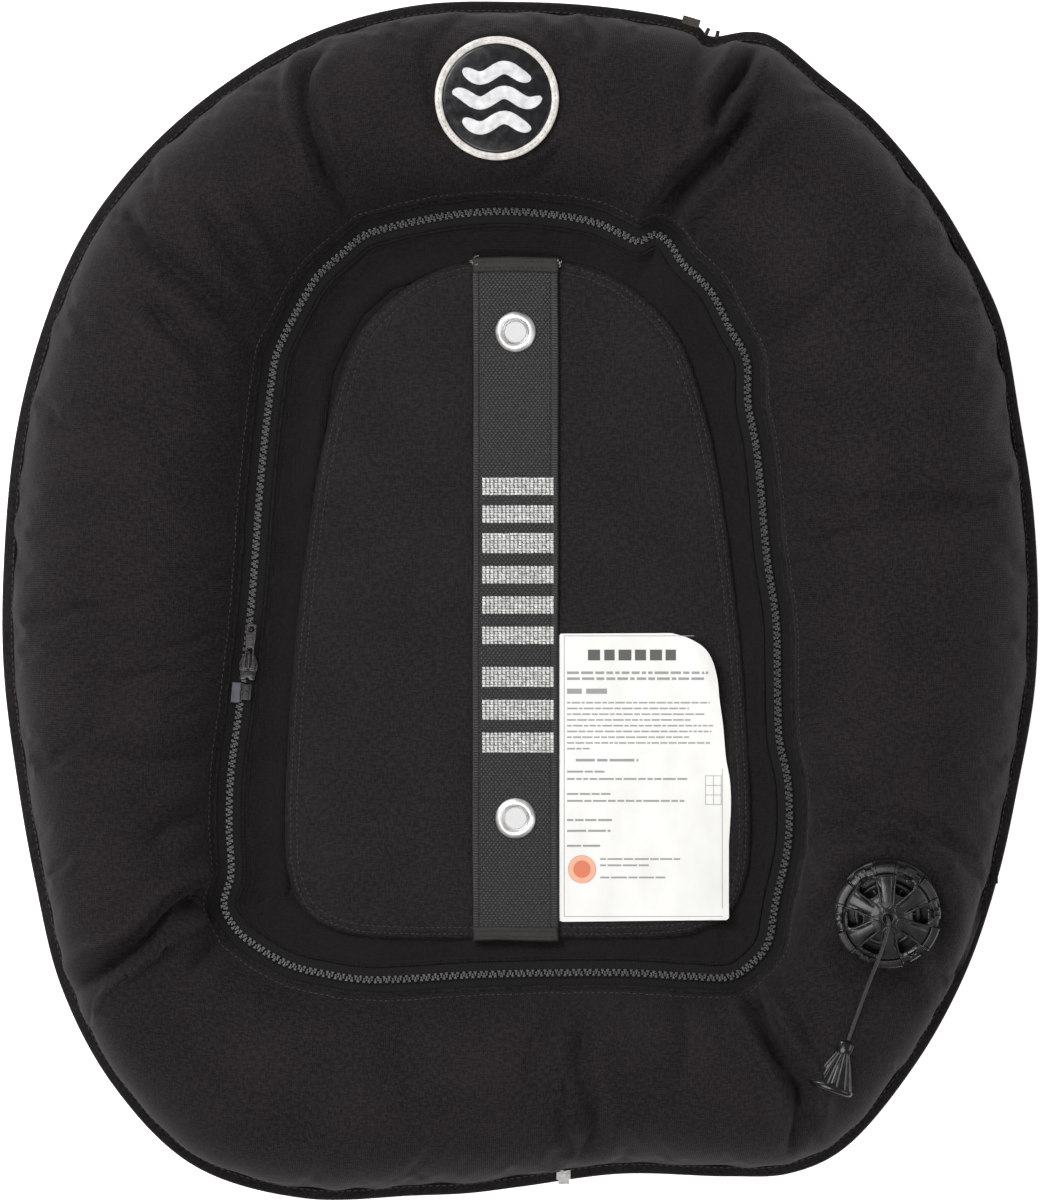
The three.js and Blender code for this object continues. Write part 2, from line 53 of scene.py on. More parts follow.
def addCamera(setup):
    data = bpy.data.cameras.new("top_camera")
    data.sensor_width = setup["sensor"]
    data.lens = setup["sensor"] * (setup["distance"] - setup["aimHeight"]) / setup["shownHeight"]
    data.clip_end = 40.0
    data.dof.use_dof = False
    camera = bpy.data.objects.new("top_camera", data)
    camera.location = (0.0, 0.0, setup["distance"])
    bpy.context.scene.collection.objects.link(camera)
    bpy.context.scene.camera = camera


addCamera(cameraSetup)
print("camera set")


# curves and outlines, in numpy

def smoothRun(points, per=12, closed=False):
    points = np.asarray(points, float)
    count = len(points)
    segments = count if closed else count - 1
    out = []
    for i in range(segments):
        if closed:
            p0, p1, p2, p3 = (points[(i + k) % count] for k in (-1, 0, 1, 2))
        else:
            p1, p2 = points[i], points[i + 1]
            p0 = points[i - 1] if i > 0 else 2 * p1 - p2
            p3 = points[i + 2] if i + 2 < count else 2 * p2 - p1
        knots = [0.0]
        for a, b in ((p0, p1), (p1, p2), (p2, p3)):
            knots.append(knots[-1] + max(np.linalg.norm(b - a), 1e-6) ** 0.5)
        t = np.linspace(knots[1], knots[2], per, endpoint=False)[:, None]
        a1 = (knots[1] - t) / (knots[1] - knots[0]) * p0 + (t - knots[0]) / (knots[1] - knots[0]) * p1
        a2 = (knots[2] - t) / (knots[2] - knots[1]) * p1 + (t - knots[1]) / (knots[2] - knots[1]) * p2
        a3 = (knots[3] - t) / (knots[3] - knots[2]) * p2 + (t - knots[2]) / (knots[3] - knots[2]) * p3
        b1 = (knots[2] - t) / (knots[2] - knots[0]) * a1 + (t - knots[0]) / (knots[2] - knots[0]) * a2
        b2 = (knots[3] - t) / (knots[3] - knots[1]) * a2 + (t - knots[1]) / (knots[3] - knots[1]) * a3
        out.append((knots[2] - t) / (knots[2] - knots[1]) * b1 + (t - knots[1]) / (knots[2] - knots[1])
            * b2)
    if not closed:
        out.append(points[-1:])
    return np.concatenate(out)


def evenly(points, step, closed=False):
    points = np.asarray(points, float)
    if closed:
        points = np.concatenate([points, points[:1]])
    along = np.concatenate([[0], np.cumsum(np.linalg.norm(np.diff(points, axis=0), axis=1))])
    count = max(2, int(round(along[-1] / step)))
    at = np.linspace(0, along[-1], count, endpoint=False) if closed else np.linspace(0, along[-1],
        count + 1)
    return np.stack([np.interp(at, along, points[:, k]) for k in range(points.shape[1])], 1)


def runLength(points):
    return float(np.linalg.norm(np.diff(np.asarray(points, float), axis=0), axis=1).sum())


def tangents(points, closed=False):
    if closed:
        t = np.roll(points, -1, 0) - np.roll(points, 1, 0)
    else:
        t = np.gradient(points, axis=0)
    return t / np.maximum(np.linalg.norm(t, axis=1, keepdims=True), 1e-9)


def outwardOf(points):       # for a loop that runs anticlockwise
    t = tangents(points, True)
    return np.stack([t[:, 1], -t[:, 0]], 1)


def roundCorners(points, radius, steps=4):
    points = np.asarray(points, float)
    out = []
    for i, corner in enumerate(points):
        before, after = points[i - 1], points[(i + 1) % len(points)]
        toBefore, toAfter = before - corner, after - corner
        lengthBefore, lengthAfter = np.linalg.norm(toBefore), np.linalg.norm(toAfter)
        reach = min(radius, lengthBefore * 0.48, lengthAfter * 0.48)
        start = corner + toBefore / max(lengthBefore, 1e-9) * reach
        end = corner + toAfter / max(lengthAfter, 1e-9) * reach
        for t in np.linspace(0, 1, steps + 1):
            out.append((1 - t) ** 2 * start + 2 * t * (1 - t) * corner + t ** 2 * end)
    return np.array(out)


def ringOf(radius, count=48, centre=(0.0, 0.0), start=0.0):
    turn = start + np.arange(count) * 2 * np.pi / count
    return np.stack([centre[0] + radius * np.cos(turn), centre[1] + radius * np.sin(turn)], 1)


def smoothStep(x, low, high):
    t = np.clip((np.asarray(x, float) - low) / (high - low), 0, 1)
    return t * t * (3 - 2 * t)


def distanceToRun(points, run, closed=False):
    run = np.asarray(run, float)
    if closed:
        run = np.concatenate([run, run[:1]])
    best = np.full(len(points), 1e9)
    share = np.zeros(len(points))
    lengths = np.linalg.norm(np.diff(run, axis=0), axis=1)
    along = np.concatenate([[0], np.cumsum(lengths)])
    for i in range(len(run) - 1):
        a, d = run[i], run[i + 1] - run[i]
        t = np.clip(((points - a) @ d) / max(d @ d, 1e-9), 0, 1)
        q = np.linalg.norm(points - (a + t[:, None] * d), axis=1)
        near = q < best
        best = np.where(near, q, best)
        share = np.where(near, (along[i] + t * lengths[i]) / along[-1], share)
    return best, share


def wavy(at, period, waves, seed):       # repeats after one period, between about -1 and 1
    local = np.random.default_rng(seed)
    total = np.zeros_like(at, dtype=float)
    for count in waves:
        total += local.uniform(0.5, 1.0) * np.sin(2 * np.pi * count * at / period
            + local.uniform(0, 6.28))
    return total / (0.75 * len(waves))


def cloudAt(points, size, seed):         # soft noise, one value for each point
    shift = Vector((seed * 17.3, seed * 5.1, seed * 9.7))
    return np.array([noise.noise(Vector(p) / size + shift) for p in points])


# meshes

def gridFaces(rows, cols, closeRows=False, closeCols=False, start=0, flip=False):
    i = np.arange(rows if closeRows else rows - 1)[:, None]
    j = np.arange(cols if closeCols else cols - 1)[None, :]
    i2, j2 = (i + 1) % rows, (j + 1) % cols
    corners = [i * cols + j, i2 * cols + j, i2 * cols + j2, i * cols + j2]
    faces = np.stack([np.broadcast_to(c, (i.shape[0], j.shape[1])) for c in corners], -1).reshape(-1, 4)
    return (faces[:, ::-1] if flip else faces) + start


def joined(*shapes):
    points, faces, start = [], [], 0
    for p, f in shapes:
        points.append(np.asarray(p, float).reshape(-1, 3))
        faces.extend([[v + start for v in face] for face in (f.tolist() if hasattr(f, "tolist") else f)])
        start += len(points[-1])
    return np.concatenate(points), faces


def makePiece(name, shape, paint, node=None, body="wing", weld=False, flat=None, smooth=True):
    # node is the CAD solid that the piece stands for
    points, faces = shape
    mesh = bpy.data.meshes.new(name)
    facesList = faces.tolist() if hasattr(faces, "tolist") else faces
    mesh.from_pydata((np.asarray(points).reshape(-1, 3) * metre).tolist(), [], facesList)
    if flat is not None:                 # the cloth's own flat coordinates, in metres
        layer = mesh.uv_layers.new(name="weave")
        index = np.zeros(len(mesh.loops), int)
        mesh.loops.foreach_get("vertex_index", index)
        layer.data.foreach_set("uv", (np.asarray(flat)[index] * metre).ravel())
    mesh.validate()
    if weld:
        work = bmesh.new()
        work.from_mesh(mesh)
        bmesh.ops.remove_doubles(work, verts=work.verts, dist=2e-6)
        bmesh.ops.dissolve_degenerate(work, dist=1e-7, edges=work.edges)
        bmesh.ops.recalc_face_normals(work, faces=work.faces)
        work.to_mesh(mesh)
        work.free()
    mesh.update()
    if smooth:
        mesh.shade_smooth()
    mesh.materials.append(paints[paint])
    piece = bpy.data.objects.new(name, mesh)
    bpy.context.scene.collection.objects.link(piece)
    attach(piece, body)
    if node:
        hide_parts(node)
    return piece


def sharpen(piece, angle=38):
    piece.data.set_sharp_from_angle(angle=math.radians(angle))
    return piece


def lathe(profile, segments=64, closed=True):
    profile = np.asarray(profile, float)
    turn = np.arange(segments) * 2 * np.pi / segments
    r, z = profile[:, 0], profile[:, 1]
    points = np.stack([np.outer(np.cos(turn), r), np.outer(np.sin(turn), r),
        np.broadcast_to(z, (segments, len(z)))], -1)
    return points.reshape(-1, 3), gridFaces(segments, len(profile), True, closed)


def turned(profile, radius, steps=4, segments=64):
    # a turned part: its profile with the corners rounded, spun about z
    return lathe(roundCorners(profile, radius, steps), segments)


def sweep(path, radius, sides=12, closed=False, squeeze=(1.0, 1.0), up=(0, 0, 1), section=None):
    path = np.asarray(path, float)
    radius = np.broadcast_to(radius, len(path))
    t = tangents(path, closed)
    side = np.cross(t, np.broadcast_to(np.asarray(up, float), t.shape))
    weak = np.linalg.norm(side, axis=1) < 0.05
    side[weak] = np.cross(t[weak], np.array([0.3, 1.0, 0.1]))
    side /= np.linalg.norm(side, axis=1, keepdims=True)
    if weak.any() and not closed:        # carry the frame on where the path runs along "up"
        for i in range(1, len(path)):
            side[i] = side[i - 1] - t[i] * (side[i - 1] @ t[i])
            side[i] /= np.linalg.norm(side[i])
    top = np.cross(side, t)
    if section is None:
        turn = np.arange(sides) * 2 * np.pi / sides
        section = np.stack([np.cos(turn) * squeeze[0], np.sin(turn) * squeeze[1]], 1)
    section = np.asarray(section, float)
    rings = (path[:, None, :] + radius[:, None, None] * (section[None, :, :1] * side[:, None, :]
        + section[None, :, 1:] * top[:, None, :]))
    faces = gridFaces(len(path), len(section), closed, True).tolist()
    if not closed:
        last = (len(path) - 1) * len(section)
        faces.append(list(range(len(section)))[::-1])
        faces.append([last + k for k in range(len(section))])
    return rings.reshape(-1, 3), faces


def scatter(template, origins, xAxes, yAxes, zAxes):
    points, faces = template
    points, faces = np.asarray(points, float), [list(f) for f in faces]
    axes = np.stack([xAxes, yAxes, zAxes], 1)
    placed = np.asarray(origins)[:, None, :] + np.einsum("vk,nkj->nvj", points, axes)
    allFaces = []
    for n in range(len(placed)):
        allFaces.extend([[v + n * len(points) for v in f] for f in faces])
    return placed.reshape(-1, 3), allFaces


def plate(outlines, low, high, bevel=0.0, steps=3):
    # flat piece from closed outlines (the rim, then its holes), with rounded edges
    data = bpy.data.curves.new("plate", "CURVE")
    data.dimensions, data.fill_mode = "2D", "BOTH"
    data.extrude = (high - low) / 2 - bevel
    data.bevel_depth, data.bevel_resolution = bevel, steps
    data.offset = -bevel
    for outline in outlines:
        spline = data.splines.new("POLY")
        spline.points.add(len(outline) - 1)
        spline.points.foreach_set("co", np.concatenate([outline, np.zeros((len(outline), 1)),
            np.ones((len(outline), 1))], 1).ravel())
        spline.use_cyclic_u = True
    holder = bpy.data.objects.new("plate", data)
    bpy.context.scene.collection.objects.link(holder)
    bpy.context.view_layer.update()
    mesh = bpy.data.meshes.new_from_object(holder.evaluated_get(bpy.context.evaluated_depsgraph_get()))
    points = np.array([v.co for v in mesh.vertices]) + np.array([0, 0, (low + high) / 2])
    faces = [list(p.vertices) for p in mesh.polygons]
    bpy.data.objects.remove(holder)
    bpy.data.curves.remove(data)
    bpy.data.meshes.remove(mesh)
    return points, faces


def moved(shape, offset=(0, 0, 0), turn=None):
    points, faces = shape
    points = np.asarray(points, float).reshape(-1, 3)
    if turn is not None:
        points = points @ np.array(turn.to_3x3()).T
    return points + np.asarray(offset, float), faces


def block(x0, y0, z0, x1, y1, z1, bevel=0.3):
    return plate([roundCorners([(x0, y0), (x1, y0), (x1, y1), (x0, y1)], bevel * 1.5, 3)], z0, z1, bevel,
        2)


def filledSheet(loops, inside, spacing):
    # a triangulated sheet: loops[0] is the rim, the others are holes or lines that it follows
    points, edges = [], []
    for loop in loops:
        start = len(points)
        points.extend(Vector(p) for p in loop)
        edges.extend((start + k, start + (k + 1) % len(loop)) for k in range(len(loop)))
    rim = np.asarray(loops[0])
    low, high = rim.min(0), rim.max(0)
    xs, ys = np.arange(low[0], high[0], spacing), np.arange(low[1], high[1], spacing)
    gx, gy = np.meshgrid(xs, ys)
    gx[1::2] += spacing / 2
    grid = np.stack([gx.ravel(), gy.ravel()], 1)
    grid = grid[inside(grid)]
    points.extend(Vector(p) for p in grid)
    out = delaunay_2d_cdt(points, edges, [], 0, 1e-5)
    flat = np.array([tuple(v) for v in out[0]])
    faces = np.array(out[2])
    return flat, faces[inside(flat[faces].mean(1), True)]


def insideLoop(points, loop):
    loop = np.asarray(loop)
    x, y = points[:, 0], points[:, 1]
    result = np.zeros(len(points), bool)
    for a, b in zip(loop, np.roll(loop, -1, 0)):
        crosses = (a[1] > y) != (b[1] > y)
        with np.errstate(divide="ignore", invalid="ignore"):
            at = (b[0] - a[0]) * (y - a[1]) / (b[1] - a[1]) + a[0]
        result ^= crosses & (x < at)
    return result


# materials

class Paint:
    def __init__(self, name, colour, roughness, **uniform):
        self.material = bpy.data.materials.new(name)
        self.material.use_nodes = True
        self.nodes = self.material.node_tree.nodes
        self.links = self.material.node_tree.links
        self.shader = self.nodes["Principled BSDF"]
        self.set("Base Color", (*colour, 1.0))
        self.set("Roughness", roughness)
        for socket, value in uniform.items():
            self.set(socket.replace("_", " "), value)

    def set(self, socket, value):
        self.shader.inputs[socket].default_value = value

    def add(self, kind, **settings):
        node = self.nodes.new(kind)
        for key, value in settings.items():
            setattr(node, key, value)
        return node

    def link(self, output, target):
        self.links.new(output, target)

    def place(self, space, scale=(1, 1, 1), turn=0.0):
        # coordinates in millimetres: "cloth" follows the weave, "object" the piece's place
        mapping = self.add("ShaderNodeMapping")
        mapping.inputs["Scale"].default_value = [1000.0 * s for s in scale]
        mapping.inputs["Rotation"].default_value = (0, 0, turn)
        if space == "cloth":
            source = self.add("ShaderNodeUVMap", uv_map="weave").outputs["UV"]
        else:
            source = self.add("ShaderNodeTexCoord").outputs["Object"]
        self.link(source, mapping.inputs["Vector"])
        return mapping.outputs["Vector"]

    def noise(self, space, size, detail=2.0, scale=(1, 1, 1), turn=0.0):
        node = self.add("ShaderNodeTexNoise")
        node.inputs["Scale"].default_value = 1.0 / size
        node.inputs["Detail"].default_value = detail
        self.link(self.place(space, scale, turn), node.inputs["Vector"])
        return node.outputs["Fac"]

    def bands(self, space, pitch, direction="X", profile="SIN", turn=0.0, distort=0.0):
        node = self.add("ShaderNodeTexWave", bands_direction=direction, wave_profile=profile)
        node.inputs["Scale"].default_value = math.pi * 2 / (20 * pitch)
        node.inputs["Distortion"].default_value = distort
        self.link(self.place(space, turn=turn), node.inputs["Vector"])
        return node.outputs["Fac"]

    def combine(self, one, other, operation="ADD"):
        node = self.add("ShaderNodeMath", operation=operation)
        for slot, value in enumerate((one, other)):
            if isinstance(value, (int, float)):
                node.inputs[slot].default_value = value
            else:
                self.link(value, node.inputs[slot])
        return node.outputs[0]

    def spread(self, value, low, high, toLow, toHigh):
        node = self.add("ShaderNodeMapRange")
        for key, number in zip(("From Min", "From Max", "To Min", "To Max"), (low, high, toLow, toHigh)):
            node.inputs[key].default_value = number
        self.link(value, node.inputs["Value"])
        return node.outputs["Result"]

    def blendColours(self, share, one, other):
        node = self.add("ShaderNodeMix", data_type="RGBA")
        self.link(share, node.inputs["Factor"])
        for slot, value in ((6, one), (7, other)):
            if isinstance(value, tuple):
                node.inputs[slot].default_value = (*value, 1.0)
            else:
                self.link(value, node.inputs[slot])
        return node.outputs[2]

    def colour(self, output):
        self.link(output, self.shader.inputs["Base Color"])

    def rough(self, output):
        self.link(output, self.shader.inputs["Roughness"])

    def bump(self, height, depth, strength=1.0):
        node = self.add("ShaderNodeBump")
        node.inputs["Distance"].default_value = depth * metre
        node.inputs["Strength"].default_value = strength
        self.link(height, node.inputs["Height"])
        if self.shader.inputs["Normal"].is_linked:
            self.link(self.shader.inputs["Normal"].links[0].from_socket, node.inputs["Normal"])
        self.link(node.outputs["Normal"], self.shader.inputs["Normal"])


def clothPaint(name, dark, light, yarn, space="cloth", roughness=0.85, sheen=0.05, bump=0.3):
    paint = Paint(name, light, roughness, Sheen_Weight=sheen, Sheen_Roughness=0.45,
        Specular_IOR_Level=0.22)
    paint.set("Sheen Tint", (0.62, 0.58, 0.58, 1.0))
    warp = paint.bands(space, yarn, "X", distort=0.4)
    weft = paint.bands(space, yarn, "Y", distort=0.4)
    crossing = paint.combine(warp, weft, "MULTIPLY")
    slubs = paint.combine(paint.noise(space, 1.2, 2, (1, 0.35, 1)),
        paint.noise(space, 1.2, 2, (0.35, 1, 1)))
    patches = paint.noise(space, 46.0, 2)
    height = paint.combine(crossing, paint.combine(slubs, 0.9, "MULTIPLY"))
    paint.bump(height, bump, 0.75)
    tone = paint.combine(paint.spread(slubs, 0.85, 1.2, -0.05, 0.8),
        paint.spread(patches, 0.3, 0.7, -0.1, 0.15))
    paint.colour(paint.blendColours(paint.combine(tone, paint.combine(crossing, 0.5, "MULTIPLY")), dark,
        light))
    paint.rough(paint.spread(slubs, 0.6, 1.4, roughness - 0.09, roughness + 0.08))
    return paint.material


def tapePaint():
    paint = Paint("zip_tape_weave", (0.01, 0.0099, 0.0098), 0.85, Sheen_Weight=0.02,
        Specular_IOR_Level=0.25)
    ribs = paint.bands("object", 0.95, "X", distort=0.5)
    knit = paint.bands("object", 0.9, "DIAGONAL", distort=0.6)
    grain = paint.noise("object", 1.0, 3)
    height = paint.combine(paint.combine(ribs, 0.5, "MULTIPLY"), paint.combine(knit, grain))
    paint.bump(height, 0.2, 0.8)
    paint.colour(paint.blendColours(paint.spread(height, 0.4, 1.8, 0, 1), (0.002, 0.0019, 0.0019),
        (0.0086, 0.0083, 0.0082)))
    return paint.material


def webbingPaint():
    # painted highlight on the crown of each float and painted shade down between them, set by height
    paint = Paint("webbing_yarn", (0.05, 0.053, 0.053), 0.5, Sheen_Weight=0.05, Sheen_Roughness=0.4)
    parts = paint.add("ShaderNodeSeparateXYZ")
    paint.link(paint.place("object"), parts.inputs["Vector"])
    # the relief height sets painted shade in the gaps and painted highlight on the crowns
    depth = paint.spread(parts.outputs["Z"], 60.16, 60.42, 0.0, 1.0)
    uneven = paint.noise("object", 1.6, 3)
    paintedHighlightTops = paint.blendColours(paint.spread(uneven, 0.3, 0.7, 0, 1), (0.066, 0.07, 0.07),
        (0.18, 0.187, 0.187))
    paint.colour(paint.blendColours(depth, (0.0016, 0.0017, 0.0017), paintedHighlightTops))
    paint.bump(paint.bands("object", 0.3, "DIAGONAL"), 0.06, 0.6)
    return paint.material


def plasticPaint(name, colour, roughness, grain=0.35, coat=0.0):
    paint = Paint(name, colour, roughness, Specular_IOR_Level=0.5, Coat_Weight=coat, Coat_Roughness=0.25)
    fine = paint.noise("object", grain, 4)
    wearAndHighlightPatches = paint.noise("object", 11.0, 4)
    paint.bump(fine, 0.05, 0.5)
    lighter = tuple(min(1.0, c * 1.7 + 0.006) for c in colour)
    paint.colour(paint.blendColours(paint.spread(wearAndHighlightPatches, 0.35, 0.75, 0, 1), colour, lighter))
    paint.rough(paint.spread(wearAndHighlightPatches, 0.3, 0.7, max(0.05, roughness - 0.07), roughness + 0.1))
    return paint.material


def mouldedPaint(name, low, high, dark, light, roughness):
    # painted highlight where the part stands proud and painted shade low down, between two heights in
    # millimetres, broken up by noise
    paint = Paint(name, dark, roughness, Specular_IOR_Level=0.55)
    parts = paint.add("ShaderNodeSeparateXYZ")
    paint.link(paint.place("object"), parts.inputs["Vector"])
    wearAndHighlightPatches = paint.noise("object", 1.4, 4)
    # painted highlight rising with height, made patchy by the noise
    share = paint.combine(paint.spread(parts.outputs["Z"], low, high, 0, 1),
        paint.spread(wearAndHighlightPatches, 0.3, 0.7, 0.45, 1.0), "MULTIPLY")
    paint.colour(paint.blendColours(share, dark, light))
    paint.bump(paint.noise("object", 0.5, 3), 0.04, 0.4)
    paint.rough(paint.spread(wearAndHighlightPatches, 0.3, 0.7, roughness, roughness + 0.12))
    return paint.material


def rubberPaint(name, colour, roughness=0.5):
    paint = Paint(name, colour, roughness, Specular_IOR_Level=0.4)
    haze = paint.noise("object", 5.0, 5)
    paint.bump(paint.noise("object", 0.5, 3), 0.08, 0.5)
    paint.colour(paint.blendColours(paint.spread(haze, 0.3, 0.8, 0, 1), colour,
        tuple(c * 1.8 + 0.004 for c in colour)))
    paint.rough(paint.spread(haze, 0.3, 0.7, roughness - 0.08, roughness + 0.12))
    return paint.material


def metalPaint(name, colour, roughness, direction="X"):
    paint = Paint(name, colour, roughness, Metallic=1.0)
    scratches = paint.noise("object", 0.5, 5, (1, 0.06, 1) if direction == "X" else (0.06, 1, 1))
    smudges = paint.noise("object", 6.0, 4)
    paint.bump(scratches, 0.01, 0.3)
    paint.rough(paint.spread(smudges, 0.3, 0.7, roughness * 0.7, roughness * 1.5))
    paint.colour(paint.blendColours(paint.spread(smudges, 0.3, 0.8, 0, 1), colour,
        tuple(c * 0.88 for c in colour)))
    return paint.material


def threadPaint(name, colour, roughness=0.55, sheen=0.3):
    paint = Paint(name, colour, roughness, Sheen_Weight=sheen, Sheen_Roughness=0.4)
    plies = paint.bands("object", 0.28, "DIAGONAL")
    paint.bump(plies, 0.06, 0.7)
    uneven = paint.noise("object", 2.2, 3)
    paint.colour(paint.blendColours(paint.spread(uneven, 0.3, 0.7, 0, 1), tuple(c * 0.7 for c in colour),
        tuple(min(1.0, c * 1.25) for c in colour)))
    return paint.material


paints = {
    "cover": clothPaint("cover_nylon", (0.003, 0.0023, 0.0025), (0.0208, 0.0163, 0.017), 1.15),
    "pad": clothPaint("pad_nylon", (0.0058, 0.0048, 0.005), (0.0228, 0.0192, 0.0197), 1.05),
    "skirt": clothPaint("skirt_nylon", (0.0028, 0.002, 0.0022), (0.0112, 0.0086, 0.009), 1.1),
    "lining": clothPaint("bladder_lining", (0.02, 0.021, 0.023), (0.034, 0.035, 0.038), 0.6, "object",
                         0.45, 0.05, 0.08),
    "tape": tapePaint(),
    # teeth and slider: painted highlight on their raised parts, painted shade lower down
    "teeth": mouldedPaint("moulded_teeth", 60.7, 61.9, (0.0018, 0.0018, 0.002), (0.062, 0.062, 0.063), 0.2),
    "slider": mouldedPaint("slider_lacquer", 62.4, 66.2, (0.0022, 0.0021, 0.0021), (0.06, 0.055, 0.053), 0.2),
    "webbing": webbingPaint(),
    "whiteYarn": threadPaint("white_yarn", (0.72, 0.72, 0.7), 0.6, 0.15),
    "band": threadPaint("band_ribbon", (0.0165, 0.0145, 0.0122), 0.65, 0.02),
    "thread": threadPaint("sewing_thread", (0.024, 0.022, 0.0222), 0.5, 0.15),
    "nickel": metalPaint("bright_nickel", (0.97, 0.965, 0.95), 0.4),
    "steel": metalPaint("spring_steel", (0.62, 0.62, 0.63), 0.25),
    "brass": metalPaint("plated_nipple", (0.72, 0.7, 0.66), 0.22, "Y"),
    "cap": plasticPaint("valve_black", (0.0068, 0.0068, 0.0072), 0.26, 0.7),
    "valve": plasticPaint("valve_inner", (0.0065, 0.0065, 0.007), 0.36, 0.7),
    "knob": rubberPaint("knob_gloss", (0.004, 0.004, 0.0043), 0.15),
    # the knob's ribs are painted lighter than the black knob: painted highlight
    "knobRibHighlight": rubberPaint("knob_rib_painted_highlight", (0.05, 0.05, 0.052), 0.14),
    "rubber": rubberPaint("hose_rubber", (0.008, 0.008, 0.008), 0.5),
    "badgeDisc": rubberPaint("badge_gloss", (0.006, 0.006, 0.007), 0.22),
    "badgeRing": rubberPaint("badge_ring_rubber", (0.52, 0.49, 0.465), 0.5),
    "badgeWave": rubberPaint("badge_wave_rubber", (0.5, 0.5, 0.505), 0.5),
    "seal": rubberPaint("seal_rubber", (0.012, 0.0115, 0.0112), 0.55),
    "film": rubberPaint("grey_film", (0.065, 0.07, 0.082), 0.4),
    "cord": threadPaint("pull_cord_braid", (0.018, 0.0175, 0.0172), 0.42, 0.2),
}


def paperPaint():
    paint = Paint("label_sheet", (0.9, 0.895, 0.87), 0.6, Specular_IOR_Level=0.35)
    fibres = paint.noise("object", 0.6, 5)
    creases = paint.noise("object", 16.0, 3, (1, 0.5, 1))
    paint.bump(paint.combine(paint.combine(fibres, 0.25, "MULTIPLY"), creases), 0.35, 0.35)
    paint.colour(paint.blendColours(paint.spread(creases, 0.35, 0.7, 0, 1), (0.9, 0.895, 0.87),
        (0.83, 0.825, 0.8)))
    return paint.material


paints["paper"] = paperPaint()
paints["badgeThread"] = threadPaint("badge_thread", (0.55, 0.52, 0.5), 0.5, 0.2)
paints["strip"] = threadPaint("strip_weave", (0.06, 0.052, 0.042), 0.7, 0.05)
paints["tail"] = threadPaint("thread_tails", (0.3, 0.3, 0.3), 0.4, 0.4)
paints["flap"] = clothPaint("flap_nylon", (0.0075, 0.0065, 0.0066), (0.018, 0.016, 0.0165), 0.8,
    "object")
paints["printRing"] = Paint("label_print_ring", (0.86, 0.45, 0.3), 0.6).material
paints["print"] = Paint("label_print", (0.33, 0.33, 0.33), 0.6).material
paints["printDark"] = Paint("label_print_dark", (0.1, 0.1, 0.1), 0.6).material
paints["printDisc"] = Paint("label_print_disc", (0.72, 0.2, 0.1), 0.6).material
print("materials made")


# the pull cord and the hose, on the routes that their solids take

def turnAbout(axis, angle):
    return Matrix.Rotation(angle, 3, axis)


valve = {"place": np.array([209.6, -178.0, 108.0]), "tilt": math.radians(12), "flange": 31.0,
    "body": "dump_poppet"}
valveTurn = turnAbout("X", valve["tilt"])


def onValve(shape):
    return moved(shape, valve["place"], valveTurn)


def valvePoint(x, y, w):
    return np.array(valveTurn @ Vector((x, y, w))) + valve["place"]


pullCord = {"radius": 1.05, "rest": 110.6, "braid": 0.07, "strands": 5}
cordRoute = np.array([valvePoint(0, 0, 7), valvePoint(0, 0, 16.6), [210.1, -184.4, 127.1],
    [208.9, -190.5, 125], [206.4, -199, 120.8], [203.4, -207.5, 117.4], [200.2, -215.5, 114.2],
    [196.8, -224.5, 111.6], [192.8, -236, pullCord["rest"]], [189.2, -246, pullCord["rest"]],
    [187.3, -251.2, pullCord["rest"]],])
hose = {"radius": 13.0, "valley": 11.2, "pitch": 5.6, "height": 15.6}
hoseRoute = np.array([[x, y, hose["height"]] for x, y in ((83.2, 317.7), (108, 311.5), (130, 299),
    (145, 280), (150, 255), (146, 228), (133, 205), (113, 189), (84, 180.5), (50, 178), (15, 177.5),
    (-20, 176.5), (-48, 172), (-70, 163.5), (-83.5, 149), (-88.9, 131), (-90.5, 109.9))])


def pullCordPiece():
    path = evenly(smoothRun(cordRoute, 14), 0.7)
    sides = 20
    shape, faces = sweep(path, pullCord["radius"] * 0.97, sides)
    rings = shape.reshape(len(path), sides, 3)
    turn = np.arange(sides) * 2 * np.pi / sides
    along = np.arange(len(path))[:, None] * 0.7
    lay = 2 * np.pi * along / 3.4
    plaited = np.maximum(np.sin(pullCord["strands"] * turn + lay),
        np.sin(pullCord["strands"] * turn - lay))
    rings = path[:, None, :] + (rings - path[:, None, :]) * (1 + pullCord["braid"] * plaited[:, :, None]
        * 0.8)
    piece = makePiece("pull_cord", (rings, faces), "cord", "dump_cord", body=valve["body"])
    return piece, path


def hosePiece():
    path = evenly(smoothRun(hoseRoute, 16), hose["pitch"] / 8)
    along = np.arange(len(path)) * runLength(path) / (len(path) - 1)
    wave = 0.5 + 0.5 * np.cos(2 * np.pi * along / hose["pitch"])
    ribs = hose["valley"] + (hose["radius"] - 0.2 - hose["valley"]) * wave ** 0.6
    ends = np.minimum(smoothStep(along, 8, 14), smoothStep(along[-1] - along, 8, 14))
    radius = ribs * ends + (hose["radius"] - 0.4) * (1 - ends)      # plain cuffs at both ends
    return makePiece("corrugated_hose", sweep(path, radius, 40), "rubber",
        "inflator_hose"), path


cordPiece, cordPath = pullCordPiece()
hoseObject, hosePath = hosePiece()
print("cord", round(runLength(cordPath), 1), "mm, hose", round(runLength(hosePath), 1), "mm")

# outlines of the wing

